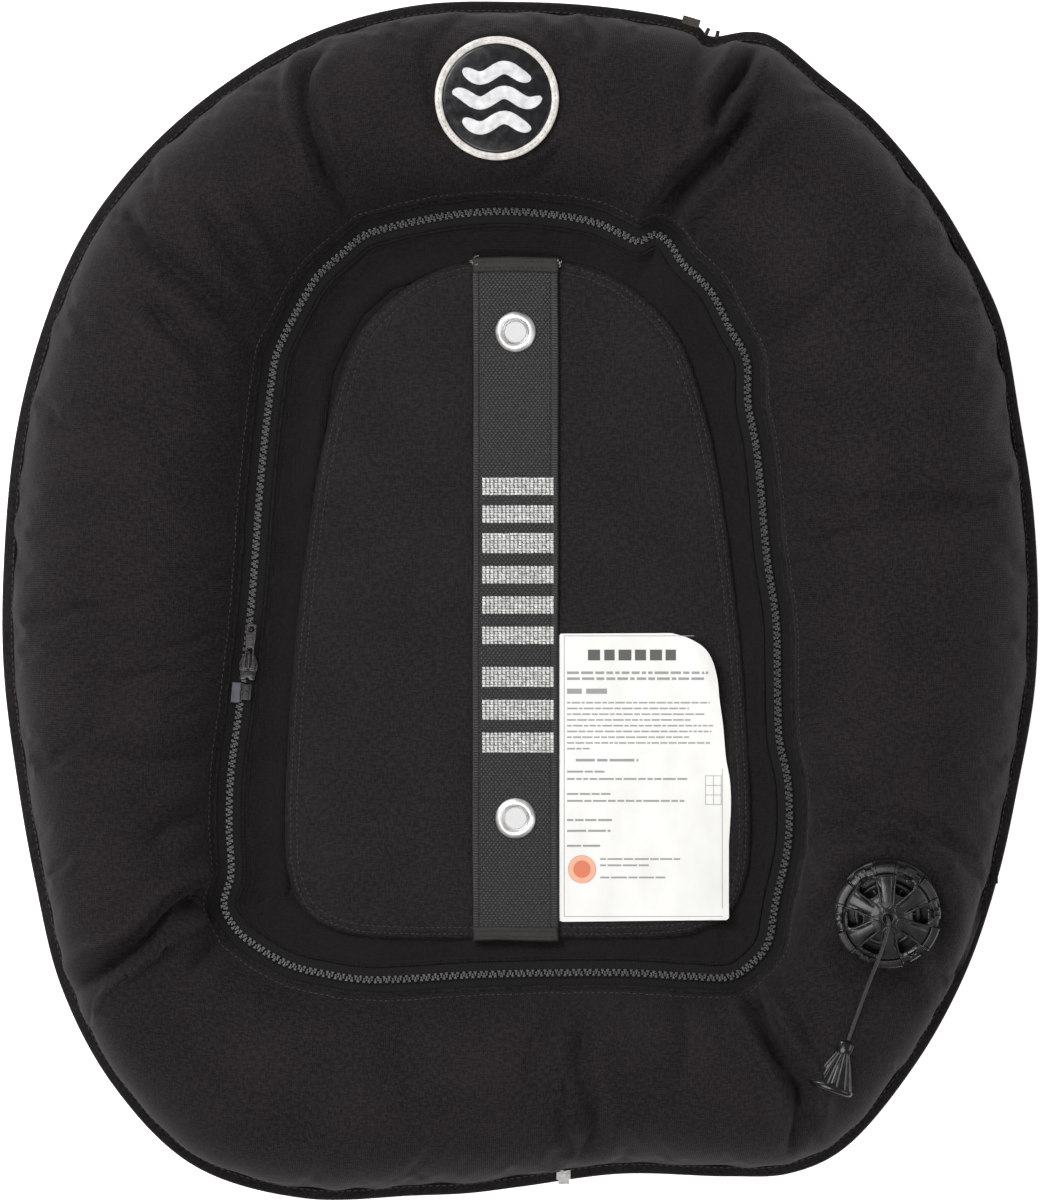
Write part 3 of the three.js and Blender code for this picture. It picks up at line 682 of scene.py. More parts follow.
outerEdge = np.array([(298, 0), (295, 55), (287.5, 105), (278, 157), (267, 184), (240, 231.5), (204, 276),
    (172, 303), (152.5, 319.5), (141, 325.8), (130, 326.8), (120.6, 325.4), (112.6, 324), (107.5, 325),
    (103, 329.8), (93.6, 333.7), (50, 341), (0, 344), (-60, 342), (-119, 326), (-171, 296), (-216, 257),
    (-251, 211), (-274, 158), (-290, 95), (-297, 20), (-297, -40), (-289, -105), (-279, -161),
    (-264, -222), (-234, -279), (-188, -325), (-125, -344), (-60, -342.5), (-30, -341.2), (0, -337.5),
    (58, -330), (120, -331.5), (154, -330), (185, -316.5), (226, -269), (256, -215), (275, -159),
    (287, -104), (296, -52)])
zipLine = np.array([(0, 223), (-32, 222), (-62, 217), (-75, 214), (-90, 209), (-103, 198), (-116, 186),
    (-128, 166), (-140, 140), (-143, 122), (-149, 67), (-154, 0), (-161, -61), (-166, -100), (-167, -130),
    (-166, -158), (-170, -175), (-163, -189), (-148, -201), (-131, -210), (-110, -215), (-87, -218),
    (-22, -215), (60, -214), (96, -216), (122, -216), (134, -208), (142, -198), (147, -173), (154, -140),
    (154, -105), (149, -80), (148, -56), (147, -11), (142, 23), (136, 86), (131, 113), (130, 138),
    (120, 157), (109, 178), (93, 194), (85, 206), (78, 210), (68, 206), (59, 210), (43, 217)])
wing = {
    "around": 400, "across": 26, "finer": 2, "finerAcross": 3,
    "crown": 108.0, "headDrop": 5.0, "seamUpper": 57.0, "seamLower": 53.0,
    "hoseClearance": 31.0, "cloth": 1.1, "pressure": 2.2, "slack": 0.016, "frames": 26, "cap": 6.0,
    "simScale": 0.01,
}


def radiusAlong(outline):
    curve = smoothRun(outline, 40, True)
    angle = np.arctan2(curve[:, 1], curve[:, 0])
    order = np.argsort(angle)
    return lambda at: np.interp(at, angle[order], np.linalg.norm(curve[order], axis=1), period=2 * np.pi)


outerRadius = radiusAlong(outerEdge)
zipCurve = evenly(smoothRun(zipLine, 30, True), 0.5, True)
zipLength = runLength(np.concatenate([zipCurve, zipCurve[:1]]))
zipNormals = outwardOf(zipCurve)
for _ in range(14):       # calmer normals, so that offsets don't fold at the corners
    zipNormals = (np.roll(zipNormals, 4, 0) + zipNormals + np.roll(zipNormals, -4, 0)) / 3
zipNormals /= np.linalg.norm(zipNormals, axis=1, keepdims=True)


def zipFrame(count):
    at = np.arange(count) * len(zipCurve) / count
    low = np.floor(at).astype(int)
    share = (at - low)[:, None]
    high = (low + 1) % len(zipCurve)
    spots = zipCurve[low] * (1 - share) + zipCurve[high] * share
    normals = zipNormals[low] * (1 - share) + zipNormals[high] * share
    return spots, normals / np.linalg.norm(normals, axis=1, keepdims=True)


def undersideAt(angle):
    middle = math.radians(75)
    away = np.abs(np.arctan2(np.sin(angle - middle), np.cos(angle - middle)))
    return wing["hoseClearance"] * (1 - smoothStep(away, math.radians(33), math.radians(62)))


def loft(startHem, inner, outer, crown, tailHem, powerIn, powerOut, floor=None):
    # one side of the tube: hem at the zip, arc over the crown, hem at the outer seam
    spots, normals = zipFrame(wing["around"])
    angle = np.arctan2(spots[:, 1], spots[:, 0])
    ray = np.stack([np.cos(angle), np.sin(angle)], 1)
    reach = outerRadius(angle)
    columns = [np.concatenate([spots + normals * d, np.full((len(spots), 1), z)], 1) for d, z in startHem]
    first, last = spots + normals * inner[0], ray * (reach - outer[0])[:, None]
    top = crown(angle)
    turns = np.linspace(0, math.pi, wing["across"] + 1)[1:-1]
    for turn in turns:
        power = powerIn if turn < math.pi / 2 else powerOut
        across = (1 - np.sign(math.cos(turn)) * abs(math.cos(turn)) ** (2 / power)) / 2
        foot = inner[1] + (outer[1] - inner[1]) * across
        height = foot + (top - foot) * math.sin(turn) ** (2 / power)
        if floor is not None:
            height = np.maximum(height, floor(angle))
        flat = first * (1 - across) + last * across
        columns.append(np.concatenate([flat, height[:, None]], 1))
    for d, z in tailHem:
        flat = ray * (reach - d)[:, None]
        columns.append(np.concatenate([flat, np.full((len(spots), 1), z)], 1))
    return np.stack(columns, 1)


def refined(grid, times, timesAcross):
    def split(values, factor, closed):
        count = len(values)
        pad = np.concatenate([values[-1:], values, values[:2]]) if closed else np.concatenate([2
            * values[:1] - values[1:2], values, 2 * values[-1:] - values[-2:-1]])
        p0, p1, p2, p3 = (pad[k:len(pad) - 3 + k] for k in range(4))
        out = []
        for k in range(factor):
            t = k / factor
            out.append(0.5 * (2 * p1 + (p2 - p0) * t + (2 * p0 - 5 * p1 + 4 * p2 - p3) * t ** 2
                + (3 * p1 - p0 - 3 * p2 + p3) * t ** 3))
        mixed = np.stack(out, 1).reshape(-1, *values.shape[1:])
        return mixed if closed else np.concatenate([mixed[:(count - 1) * factor], values[-1:]])
    around = split(grid, times, True)
    return np.swapaxes(split(np.swapaxes(around, 0, 1), timesAcross, False), 0, 1)


def gridNormals(grid, up=1.0):
    du = np.roll(grid, -1, 0) - np.roll(grid, 1, 0)
    dv = np.gradient(grid, axis=1)
    n = np.cross(dv, du) * up
    return n / np.maximum(np.linalg.norm(n, axis=2, keepdims=True), 1e-9)


def inflate(grid, held, name, upward):
    # air pressure on the sewn cloth, with its seams held
    rows, cols = grid.shape[:2]
    mesh = bpy.data.meshes.new(name)
    faces = gridFaces(rows, cols, True, False, flip=upward)
    mesh.from_pydata((grid.reshape(-1, 3) * wing["simScale"]).tolist(), [], faces.tolist())
    mesh.update()
    cloth = bpy.data.objects.new(name, mesh)
    bpy.context.scene.collection.objects.link(cloth)
    pins = cloth.vertex_groups.new(name="sewn")
    for index, weight in enumerate(held.ravel()):
        if weight > 0:
            pins.add([index], float(weight), "REPLACE")
    modifier = cloth.modifiers.new("air", "CLOTH")
    settings = modifier.settings
    settings.quality = 6
    settings.mass = 0.4
    settings.tension_stiffness = settings.compression_stiffness = 18
    settings.shear_stiffness = 9
    settings.bending_stiffness = 1.2
    settings.air_damping = 4
    settings.vertex_group_mass = "sewn"
    settings.use_pressure = True
    settings.uniform_pressure_force = wing["pressure"]
    settings.shrink_min = -wing["slack"]
    settings.effector_weights.gravity = 0
    scene = bpy.context.scene
    scene.frame_start, scene.frame_end = 1, wing["frames"]
    modifier.point_cache.frame_end = wing["frames"]
    for number in range(1, wing["frames"] + 1):
        scene.frame_set(number)
    shaped = cloth.evaluated_get(bpy.context.evaluated_depsgraph_get()).to_mesh()
    out = np.zeros(rows * cols * 3)
    shaped.vertices.foreach_get("co", out)
    scene.frame_set(1)
    bpy.data.objects.remove(cloth)
    bpy.data.meshes.remove(mesh)
    shift = out.reshape(rows, cols, 3) / wing["simScale"] - grid
    length = np.linalg.norm(shift, axis=2, keepdims=True)
    shift *= np.minimum(1, wing["cap"] / np.maximum(length, 1e-9))
    print(name, "moved by up to", round(float(length.max()), 1), "mm, mean",
        round(float(length.mean()), 2))
    return grid + shift


# Creases in the inflated cover: run, half width, depth
creases = [
    ([(-112, 318), (-123.5, 301), (-120.6, 276), (-112, 250), (-98, 227), (-90, 216)], 6.5, 5.5),
    ([(-233, 230), (-212, 203), (-186, 180), (-161, 158), (-142, 140)], 8, 4.2),
    ([(-214, 170), (-190, 146), (-168, 124)], 7, 3.4),
    ([(-183, 224), (-160, 196), (-140, 170)], 8, 2.8),
    ([(-160, 236), (-142, 210), (-128, 188)], 7, 2.0),
    ([(135, 320), (127, 303), (115, 283), (109, 262)], 6.5, 7.5),
    ([(137, 290), (121, 264), (103, 244), (84, 224), (77, 213)], 8.5, 8.5),
    ([(46, 339), (40, 309)], 7, 2.2),
    ([(-158, -158), (-172, -166), (-195, -178), (-218, -198), (-247, -218), (-262, -230)], 7.5, 6.5),
    ([(-150, -186), (-170, -196), (-190, -214)], 8, 2.6),
    ([(-176, -120), (-196, -128), (-214, -144)], 9, 2.0),
    ([(124, -214), (133, -228), (144, -253), (161, -281), (167, -306)], 7.5, 9.0),
    ([(150, -222), (162, -240), (172, -262)], 8, 2.4),
    ([(160, -280), (155, -318)], 5, 3),
    ([(40, -236), (34.5, -264), (43, -304), (29, -326)], 8, 3.2),
    ([(180, -131), (236, -144)], 7, 2.2),
    ([(222, -125), (256, -145)], 6, 1.8),
    ([(158, -150), (178, -168)], 7, 2.0),
    ([(150, -100), (196, -118)], 10, 1.4),
    ([(-290, 20), (-232, 8)], 13, 1.4),
    ([(-160, -84), (-206, -92), (-262, -88)], 12, 1.6),
    ([(200, 200), (160, 160), (134, 140)], 13, 2.0),
    ([(262, 60), (206, 40), (146, 30)], 16, 1.4),
    ([(-60, -222), (-66, -262), (-58, -300)], 13, 1.6),
    ([(90, -218), (96, -250), (88, -285)], 10, 1.5),
]


deepFold, deepest = 4.0, 17.5


def crease(grid, normals, runs, seamColumn):
    # valleys with raised banks, fading out near both seams
    points = grid[:, :, :2].reshape(-1, 2)
    cloud = cloudAt(np.column_stack([points, np.zeros(len(points))]), 30, 3)
    push = np.zeros(len(points))
    for run, width, depth in runs:
        run = smoothRun(run, 6) if len(run) > 2 else np.asarray(run, float)
        q, share = distanceToRun(points, run)
        if depth > deepFold:             # deep folds wander a little
            q = q * (1 + 0.35 * cloud)
        ends = smoothStep(share, -0.06, 0.22) * (1 - smoothStep(share, 0.72, 1.04))
        valley = -2.1 * depth * np.exp(-(q / (0.55 * width)) ** 1.15)
        banks = 0.75 * depth * np.exp(-((q - 1.4 * width) / (0.8 * width)) ** 2)
        push += (valley + banks) * ends
    push = np.maximum(push, -deepest)
    column = np.arange(grid.shape[1])
    outerFade = 1 - smoothStep(column, len(column) - 15, len(column) - 4)
    clear = smoothStep(column, seamColumn, seamColumn + 9) * outerFade
    return grid + normals * (push.reshape(grid.shape[:2]) * clear[None, :])[:, :, None]


def pucker(grid, normals, column, size, reach, waves, seed):
    # short folds square to a seam, dying away from it
    line = grid[:, column]
    along = np.concatenate([[0], np.cumsum(np.linalg.norm(np.diff(line, axis=0), axis=1))])
    ripple = wavy(along, along[-1] + 2.0, waves, seed)
    gather = 0.55 + 0.45 * wavy(along, along[-1] + 2.0, (3, 5, 8), seed + 1)
    away = np.cumsum(np.linalg.norm(np.diff(grid, axis=1, prepend=grid[:, :1]), axis=2), axis=1)
    away = np.abs(away - away[:, column:column + 1] if column >= 0 else away[:, -1:] - away)
    fade = np.exp(-away / reach) * smoothStep(away, 0.5, 5)
    return grid + normals * (size * ripple * gather)[:, None, None] * fade[:, :, None]


def flattenAt(grid, centre, inner, outer, surface):
    # eases the cloth onto a plate that is fixed on it
    away = np.linalg.norm(grid[:, :, :2] - centre[:2], axis=2)
    share = 1 - smoothStep(away, inner, outer)
    target = surface(grid)
    out = grid.copy()
    out[:, :, 2] = grid[:, :, 2] * (1 - share) + target * share
    return out


def flatPattern(grid, crownColumn):
    # the cut panel's own coordinates, so that the weave keeps its scale over the curve
    steps = np.linalg.norm(np.diff(grid, axis=1), axis=2)
    along = np.concatenate([np.zeros((len(grid), 1)), np.cumsum(steps, axis=1)], 1)
    along = (along - along[:, crownColumn:crownColumn + 1]).mean(0)[None, :]
    crown = grid[:, crownColumn, :2]
    size = np.linalg.norm(crown, axis=1, keepdims=True)
    return (crown / size)[:, None, :] * (size + along)[:, :, None]


def asCloth(grid, normals, thickness, upward):
    # outer and inner face, joined along both edges
    rows, cols = grid.shape[:2]
    both = np.concatenate([grid, (grid - normals * thickness)[:, ::-1]], 1)
    return both.reshape(-1, 3), gridFaces(rows, cols * 2, True, True, flip=upward)


def cutPort(shape, centre, radius):
    points, faces = shape
    middle = points[faces].mean(1)
    return points, faces[np.linalg.norm(middle[:, :2] - centre[:2], axis=1) > radius]


badge = {"centre": np.array([-13.2, 286.6]), "radius": 35.5, "top": 105.0, "clothUnder": 100.9,
    "ringWidth": 4.2}


def aroundValve(grid):
    plane = valve["place"][2] + (grid[:, :, 1] - valve["place"][1]) * math.tan(valve["tilt"])
    return np.clip(grid[:, :, 2], plane - 6.5, plane - 1.2)


def coverFront():
    hem = [(12.0, 62.4), (9.2, 62.6), (7.6, 63.0), (7.3, 63.7), (8.0, 64.4), (9.8, 64.8)]
    tail = [(6.3, wing["seamUpper"] - 0.3), (3.4, wing["seamUpper"] - 0.8)]
    grid = loft(hem, (10.4, 65.0), (7.0, wing["seamUpper"]),
        lambda angle: wing["crown"] - 0.6 - wing["headDrop"] * np.maximum(0, np.sin(angle)) ** 2 + 1.2
        * wavy(angle, 2 * math.pi, (3, 5, 7, 11), 5), tail, 2.15, 2.5)
    held = np.zeros(grid.shape[:2])
    held[:, :len(hem) + 1] = 1
    held[:, -3:] = 1
    for centre, radius in ((badge["centre"], badge["radius"] + 2), (valve["place"], valve["flange"] + 3)):
        held[np.linalg.norm(grid[:, :, :2] - centre[:2], axis=2) < radius] = 1
    grid = flattenAt(grid, valve["place"], 31, 58, aroundValve)
    grid = flattenAt(grid, badge["centre"], 34, 50, lambda g: np.full(g.shape[:2], badge["clothUnder"]))
    grid = inflate(grid, held, "front cover", True)
    grid = refined(grid, wing["finer"], wing["finerAcross"])
    seamColumn = len(hem) * wing["finerAcross"]
    grid = pucker(grid, gridNormals(grid), seamColumn, 1.7, 17, (31, 43, 57, 70), 11)
    grid = pucker(grid, gridNormals(grid), -1, 2.7, 30, (37, 53, 71, 88), 17)
    smooth = grid
    grid = crease(grid, gridNormals(grid), creases, seamColumn)
    grid = flattenAt(grid, valve["place"], 31, 50, aroundValve)
    grid = flattenAt(grid, badge["centre"], 33, 43, lambda g: np.full(g.shape[:2], badge["clothUnder"]))
    return grid, seamColumn, smooth


def coverRear():
    hem = [(13.5, 50.4), (10.4, 50.3), (9.0, 49.9), (9.0, 49.2), (10.2, 48.8)]
    tail = [(6.3, wing["seamLower"] + 0.3), (3.4, wing["seamLower"] + 0.8)]
    grid = loft(hem, (10.6, 48.6), (7.0, wing["seamLower"]), lambda angle: undersideAt(angle) - 9.0, tail,
        2.6, 2.6, lambda angle: undersideAt(angle) + 0.6)
    held = np.zeros(grid.shape[:2])
    held[:, :len(hem) + 1] = 1
    held[:, -3:] = 1
    held[grid[:, :, 2] < undersideAt(np.arctan2(grid[:, :, 1], grid[:, :, 0])) + 3] = 1
    grid = inflate(grid, held, "rear cover", False)
    grid = refined(grid, wing["finer"], wing["finerAcross"])
    grid = pucker(grid, gridNormals(grid, -1), len(hem) * wing["finerAcross"], 1.3, 14, (29, 41, 60), 23)
    grid = pucker(grid, gridNormals(grid, -1), -1, 1.8, 24, (37, 53, 71, 88), 17)
    grid[:, :, 2] = np.maximum(grid[:, :, 2], 0.6)
    return grid


frontGrid, frontSeam, frontSmooth = coverFront()
rearGrid = coverRear()
frontNormals, rearNormals = gridNormals(frontGrid), gridNormals(rearGrid, -1)


def coverPiece(name, grid, normals, upward, node, port, portRadius, crownColumn):
    flat = flatPattern(grid, crownColumn)
    shape = asCloth(grid, normals, wing["cloth"], upward)
    both = np.concatenate([flat, flat[:, ::-1]], 1).reshape(-1, 2)
    piece = makePiece(name, cutPort(shape, port, portRadius), "cover", node, flat=both)
    return piece


elbow = {"place": np.array([61.0, 322.0]), "spigotTurn": math.atan2(-0.19, 0.98)}
crownColumn = frontGrid.shape[1] // 2
coverPiece("cover_front", frontGrid, frontNormals, True, "front_cover", valve["place"], 28.5, crownColumn)
coverPiece("cover_rear", rearGrid, rearNormals, False, "rear_cover", elbow["place"], 15.4, crownColumn)
print("covers made,", frontGrid.shape)


# Bladder, a little inside the covers
def bladderPiece():
    skip = 8
    upper = (frontSmooth - gridNormals(frontSmooth) * 19)[::skip, frontSeam + 6::6]
    lower = (rearGrid - rearNormals * 8)[::skip, 20::6]
    upper, lower = upper[:, 1:-2], lower[:, 1:-2][:, ::-1]
    upper[:, :, 2] = np.maximum(upper[:, :, 2], 57)
    lower[:, :, 2] = np.minimum(lower[:, :, 2], 53)
    grid = np.concatenate([upper, lower], 1)
    grid = refined(grid, 2, 1)
    makePiece("bladder_cell", (grid.reshape(-1, 3), gridFaces(*grid.shape[:2], True, True)),
        "lining", "bladder")


bladderPiece()

# Sewing: each stitch is its own short lay of thread
stitch = {"length": 2.5, "gap": 0.9, "width": 0.62, "height": 0.5, "sink": 0.35}


def stitchShape(length, width, height, sink):
    rings, sides = 7, 8
    at = np.linspace(-1, 1, rings)
    path = np.stack([at * length / 2, np.zeros(rings), height * 0.42 - (height + sink) * np.abs(at) ** 3],
        1)
    return sweep(path, width / 2 * (1 - 0.45 * np.abs(at) ** 3), sides, up=(0, 0, 1))


def frameAlong(run, normals, closed=False):
    t = tangents(run, closed)
    normals = normals - t * np.sum(normals * t, 1, keepdims=True)
    normals /= np.maximum(np.linalg.norm(normals, axis=1, keepdims=True), 1e-9)
    return t, np.cross(normals, t), normals


def stitches(run, normals=None, closed=True, size=1.0, seed=1, lift=0.0):
    # run and normals are sampled finely; stitches are placed evenly along them
    if normals is None:                  # sewn from above
        normals = np.broadcast_to([0, 0, 1.0], run.shape)
    both = np.concatenate([run, normals], 1)
    step = (stitch["length"] + stitch["gap"]) * size
    if closed:
        both = np.concatenate([both, both[:1]])
    along = np.concatenate([[0], np.cumsum(np.linalg.norm(np.diff(both[:, :3], axis=0), axis=1))])
    count = max(2, int(along[-1] / step))
    at = (np.arange(count) + 0.5) * along[-1] / count
    both = np.stack([np.interp(at, along, both[:, k]) for k in range(6)], 1)
    t, side, up = frameAlong(both[:, :3], both[:, 3:], closed)
    local = np.random.default_rng(seed)
    skew = local.normal(0, 0.07, count)[:, None]
    t = t + side * skew
    t /= np.linalg.norm(t, axis=1, keepdims=True)
    side = np.cross(up, t)
    shape = stitchShape(stitch["length"] * size, stitch["width"] * size, stitch["height"] * size,
        stitch["sink"])
    return scatter(shape, both[:, :3] + up * (lift + local.normal(0, 0.04, count)[:, None]), t, side, up)


def sewn(name, shapes, body="wing", paint="thread"):
    return makePiece(name, joined(*shapes), paint, body=body)


def columnRun(grid, normals, column):
    low = int(column)
    share = column - low
    run = grid[:, low] * (1 - share) + grid[:, low + 1] * share
    up = normals[:, low] * (1 - share) + normals[:, low + 1] * share
    return run, up


# Seam binding round the outer edge, and its row of stitches
binding = {"seam": 55.0, "samples": 900}


def bindingPiece():
    angle = np.arange(binding["samples"]) * 2 * np.pi / binding["samples"]
    reach = outerRadius(angle)
    ray = np.stack([np.cos(angle), np.sin(angle)], 1)
    ripple = wavy(angle, 2 * np.pi, (37, 53, 71, 88), 17) * 0.5
    section = [(0, 0), (0.25, 1.1), (1.1, 1.8), (3.0, 2.1), (5.0, 2.3), (6.3, 2.5), (6.8, 2.1),
        (6.8, -2.1), (6.3, -2.5), (5.0, -2.3), (3.0, -2.1), (1.1, -1.8), (0.25, -1.1)]
    grid = np.stack([np.concatenate([ray * (reach - 0.2 - d)[:, None],
        (binding["seam"] + z + ripple * min(d / 7, 1))[:, None]], 1) for d, z in section], 1)
    around = np.concatenate([[0], np.cumsum(np.linalg.norm(np.diff(grid[:, 0], axis=0), axis=1))])
    girth = np.arange(len(section)) * 1.6
    flat = np.stack(np.broadcast_arrays(around[:, None], girth[None, :]), -1)
    makePiece("edge_binding_tape", (grid.reshape(-1, 3), gridFaces(len(grid), len(section), True, True)),
        "cover", "edge_binding", flat=flat.reshape(-1, 2))
    run = (grid[:, 4] + grid[:, 5]) / 2
    low = run.copy()
    low[:, 2] = 2 * binding["seam"] - run[:, 2]
    down = np.broadcast_to([0, 0, -1.0], run.shape)
    return [stitches(run, size=1.15, seed=3, lift=0.12), stitches(low, down, size=1.15, seed=4,
        lift=0.12)]


sewn("edge_stitches", bindingPiece())

# Zip: two tapes, moulded teeth, slider, stop and a scrap of film
zipper = {"samples": 1250, "height": 60.0, "pitch": 3.3}


def tapePiece(name, section, node):
    spots, normals = zipFrame(zipper["samples"])
    grid = np.stack([np.concatenate([spots + normals * d, np.full((len(spots), 1), z)], 1) for d,
        z in section], 1)
    away = np.array([d for d, z in section])
    ripple = wavy(np.arange(len(spots)), len(spots), (23, 41, 64, 90), 31)[:, None]
    grid[:, :, 2] += 0.35 * ripple * smoothStep(np.abs(away), 2.5, 8)[None, :]
    along = np.arange(len(spots)) * zipLength / len(spots)
    flat = np.stack(np.broadcast_arrays(away[None, :], along[:, None]), -1)
    makePiece(name, (grid.reshape(-1, 3), gridFaces(len(grid), len(section), True, True)), "tape",
        node, flat=flat.reshape(-1, 2))


def tapeSection(side):
    # the outer tape climbs to the cover's hem, the inner one dips under the skirt's bead
    slope, sink = (0.26, 0.0) if side > 0 else (-0.3, 1.0)
    top = [(1.25, 0.4), (1.7, 0.85), (2.3, 0.85), (2.9, 0.35), (4, 0.3), (5.2, 0.3), (6.3, 0.3),
        (7.0, 0.3 - sink), (8.2, 0.3 - sink), (11.2, 0.3 - sink)]
    over, under = [], []
    for d, z in top:
        level = zipper["height"] + slope * max(0, d - 3.6)
        over.append((side * d, level + z))
        under.insert(0, (side * d, level + min(z, 0.3) - 0.85))
    return over + under


def toothShape():
    # body over the tape's bead, a narrow neck and a wide head that locks
    outline = [(-2.2, -0.7), (-1.9, -1.0), (-1.0, -1.05), (-0.65, -0.62), (0.1, -0.6), (0.5, -0.86),
        (1.0, -0.55), (1.0, 0.55), (0.5, 0.86), (0.1, 0.6), (-0.65, 0.62), (-1.0, 1.05), (-1.9, 1.0),
        (-2.2, 0.7)]
    return plate([np.array(outline)[::-1]], -1.35, 1.9, 0.42, 2)


def teethPiece(name, side, node):
    count = int(round(zipLength / zipper["pitch"]))
    shape = toothShape()
    at = (np.arange(count) + (0.5 if side > 0 else 0)) * len(zipCurve) / count
    low = np.floor(at).astype(int) % len(zipCurve)
    inward = np.concatenate([zipNormals[low] * -side, np.zeros((count, 1))], 1)
    up = np.broadcast_to([0, 0, 1.0], inward.shape)
    origins = np.concatenate([zipCurve[low], np.full((count, 1), zipper["height"])], 1)
    makePiece(name, scatter(shape, origins, inward, np.cross(up, inward), up), "teeth", node,
        smooth=False)


tapePiece("zip_tape_outside", tapeSection(1), "zip_tape_outer")
tapePiece("zip_tape_inside", tapeSection(-1), "zip_tape_inner")
teethPiece("zip_teeth_outside", 1, "zip_teeth_outer")
teethPiece("zip_teeth_inside", -1, "zip_teeth_inner")
hemRun, hemUp = columnRun(frontGrid, frontNormals, frontSeam + 1.5)
rearRun, rearUp = columnRun(rearGrid, rearNormals, 4)
sewn("zip_stitches", [stitches(hemRun, hemUp, seed=5, lift=0.1)])
sewn("rear_stitches", [stitches(rearRun, rearUp, seed=6, lift=0.1)])
print("zip made, length", round(zipLength))

slider = {"place": np.array([-156.0, -38.0, 61.7]), "lean": -math.atan(0.085)}
sliderTurn = turnAbout("Z", slider["lean"])


def onSlider(shape):
    return moved(shape, slider["place"], sliderTurn)


def sliderPiece():
    outline = roundCorners([(-5.4, -2.9), (5.4, -2.9), (5.6, 1.4), (3.3, 7.2), (-3.3, 7.2), (-5.6, 1.4)],
        1.3, 4)
    plateTop = plate([outline[::-1]], 0, 1.6, 0.45, 3)
    nose = roundCorners([(-4.3, -7.9), (-1.1, -7.9), (0, -6.1), (1.1, -7.9), (4.3, -7.9), (4.7, -2.4),
        (-4.7, -2.4)], 0.9, 3)
    bridge = [(0, -2.4, 1.0), (0, -2.9, 3.0), (0, -1.8, 4.3), (0, 2.4, 4.65), (0, 6.2, 4.3), (0, 7.0, 3.0),
        (0, 6.7, 1.0)]
    bow = sweep(smoothRun(bridge, 6), 0.95, 12, squeeze=(1.0, 0.75), up=(1, 0, 0))
    wings = [block(s * 4.6 - 0.6, -2.4, 1.2, s * 4.6 + 0.6, 0.9, 1.9, 0.3) for s in (-1, 1)]
    shape = joined(plateTop, plate([nose[::-1]], 0, 1.0, 0.3, 2), bow, *wings)
    return makePiece("zip_slider_body", onSlider(shape), "slider", "zip_slider",
        body="zip_slider", weld=True)


def pullPiece():
    half = [(3.7, -1.8), (3.8, 1.6), (2.7, 6.4), (2.6, 12), (2.95, 15), (2.95, 24.3)]
    rim = roundCorners(half + [(-x, y) for x, y in half[::-1]], 1.1, 4)
    slot = roundCorners([(-1.6, -0.6), (1.6, -0.6), (1.6, 10.6), (-1.6, 10.6)], 1.4, 4)
    eye = roundCorners([(-1.5, 19.6), (1.5, 19.6), (1.5, 22.9), (-1.5, 22.9)], 1.1, 4)
    tab = plate([rim, slot[::-1], eye[::-1]], 0, 1.3, 0.42, 3)
    grip = [block(-1.9, y, 1.15, 1.9, y + 0.6, 1.5, 0.15) for y in (12.8, 14.2, 15.6, 17.0)]
    shape = moved(joined(tab, *grip), (0, 0, 2.1))
    return makePiece("zip_pull_tab", onSlider(shape), "slider", "zip_pull", body="zip_pull",
        weld=True)


def stopPieces():
    stop = joined(block(-3.0, -19.5, 0, 3.0, -10.2, 1.2, 0.35),
        block(-2.9, -19, 1.1, -1.9, -10.6, 1.7, 0.2), block(1.9, -19, 1.1, 2.9, -10.6, 1.7, 0.2),
        block(-1.2, -15.4, 1.1, 1.2, -14.4, 1.6, 0.2))
    makePiece("zip_box_stop", onSlider(stop), "slider", "zip_stop", weld=True)
    rows, cols = 12, 8
    gx, gy = np.meshgrid(np.linspace(-8.4, -3.3, cols), np.linspace(-21.5, -9.8, rows))
    height = 1.0 + 0.35 * ((gx + 5.8) / 2.5) ** 2 * (gy < -12)
    top = np.stack([gx, gy, height], -1).reshape(-1, 3)
    low = top - [0, 0, 0.25]
    faces = gridFaces(rows, cols, flip=True).tolist() + gridFaces(rows, cols, start=rows * cols).tolist()
    rim = list(range(cols)) + [cols * k + cols - 1 for k in range(1, rows)] + [cols * (rows - 1) + k
        for k in range(cols - 2, -1, -1)] + [cols * k for k in range(rows - 2, 0, -1)]
    faces += [[a, b, b + rows * cols, a + rows * cols] for a, b in zip(rim, rim[1:] + rim[:1])]
    makePiece("zip_film_scrap", onSlider((np.concatenate([top, low]), faces)), "film",
        "zip_film_tab", weld=True)


sharpen(sliderPiece(), 50)
sharpen(pullPiece(), 50)
stopPieces()

# Centre: skirt and panel
bolt = {"x": -2.6, "upper": 154.0, "spacing": 279.4, "clear": 7.1}
boltSpots = [np.array([bolt["x"], bolt["upper"]]), np.array([bolt["x"], bolt["upper"] - bolt["spacing"]])]
panel = {"low": 50.4, "top": 51.6, "past": 9.5}
padHalf = np.array([(24, 195), (50, 188), (72, 174), (92, 152), (105, 118), (115, 75), (123, 20),
    (129, -35), (133, -95), (134, -130), (132, -158), (121, -181), (98, -192), (60, -195), (24, -195)])
padOutline = np.concatenate([padHalf - [1, 0], (padHalf * [-1, 1] - [1, 0])[::-1]])
padCurve = evenly(smoothRun(padOutline[::-1], 12, True), 2.0, True)
pad = {"top": 57.4, "base": 52.7, "rows": (3.2, 6.9), "roundness": 4.6}


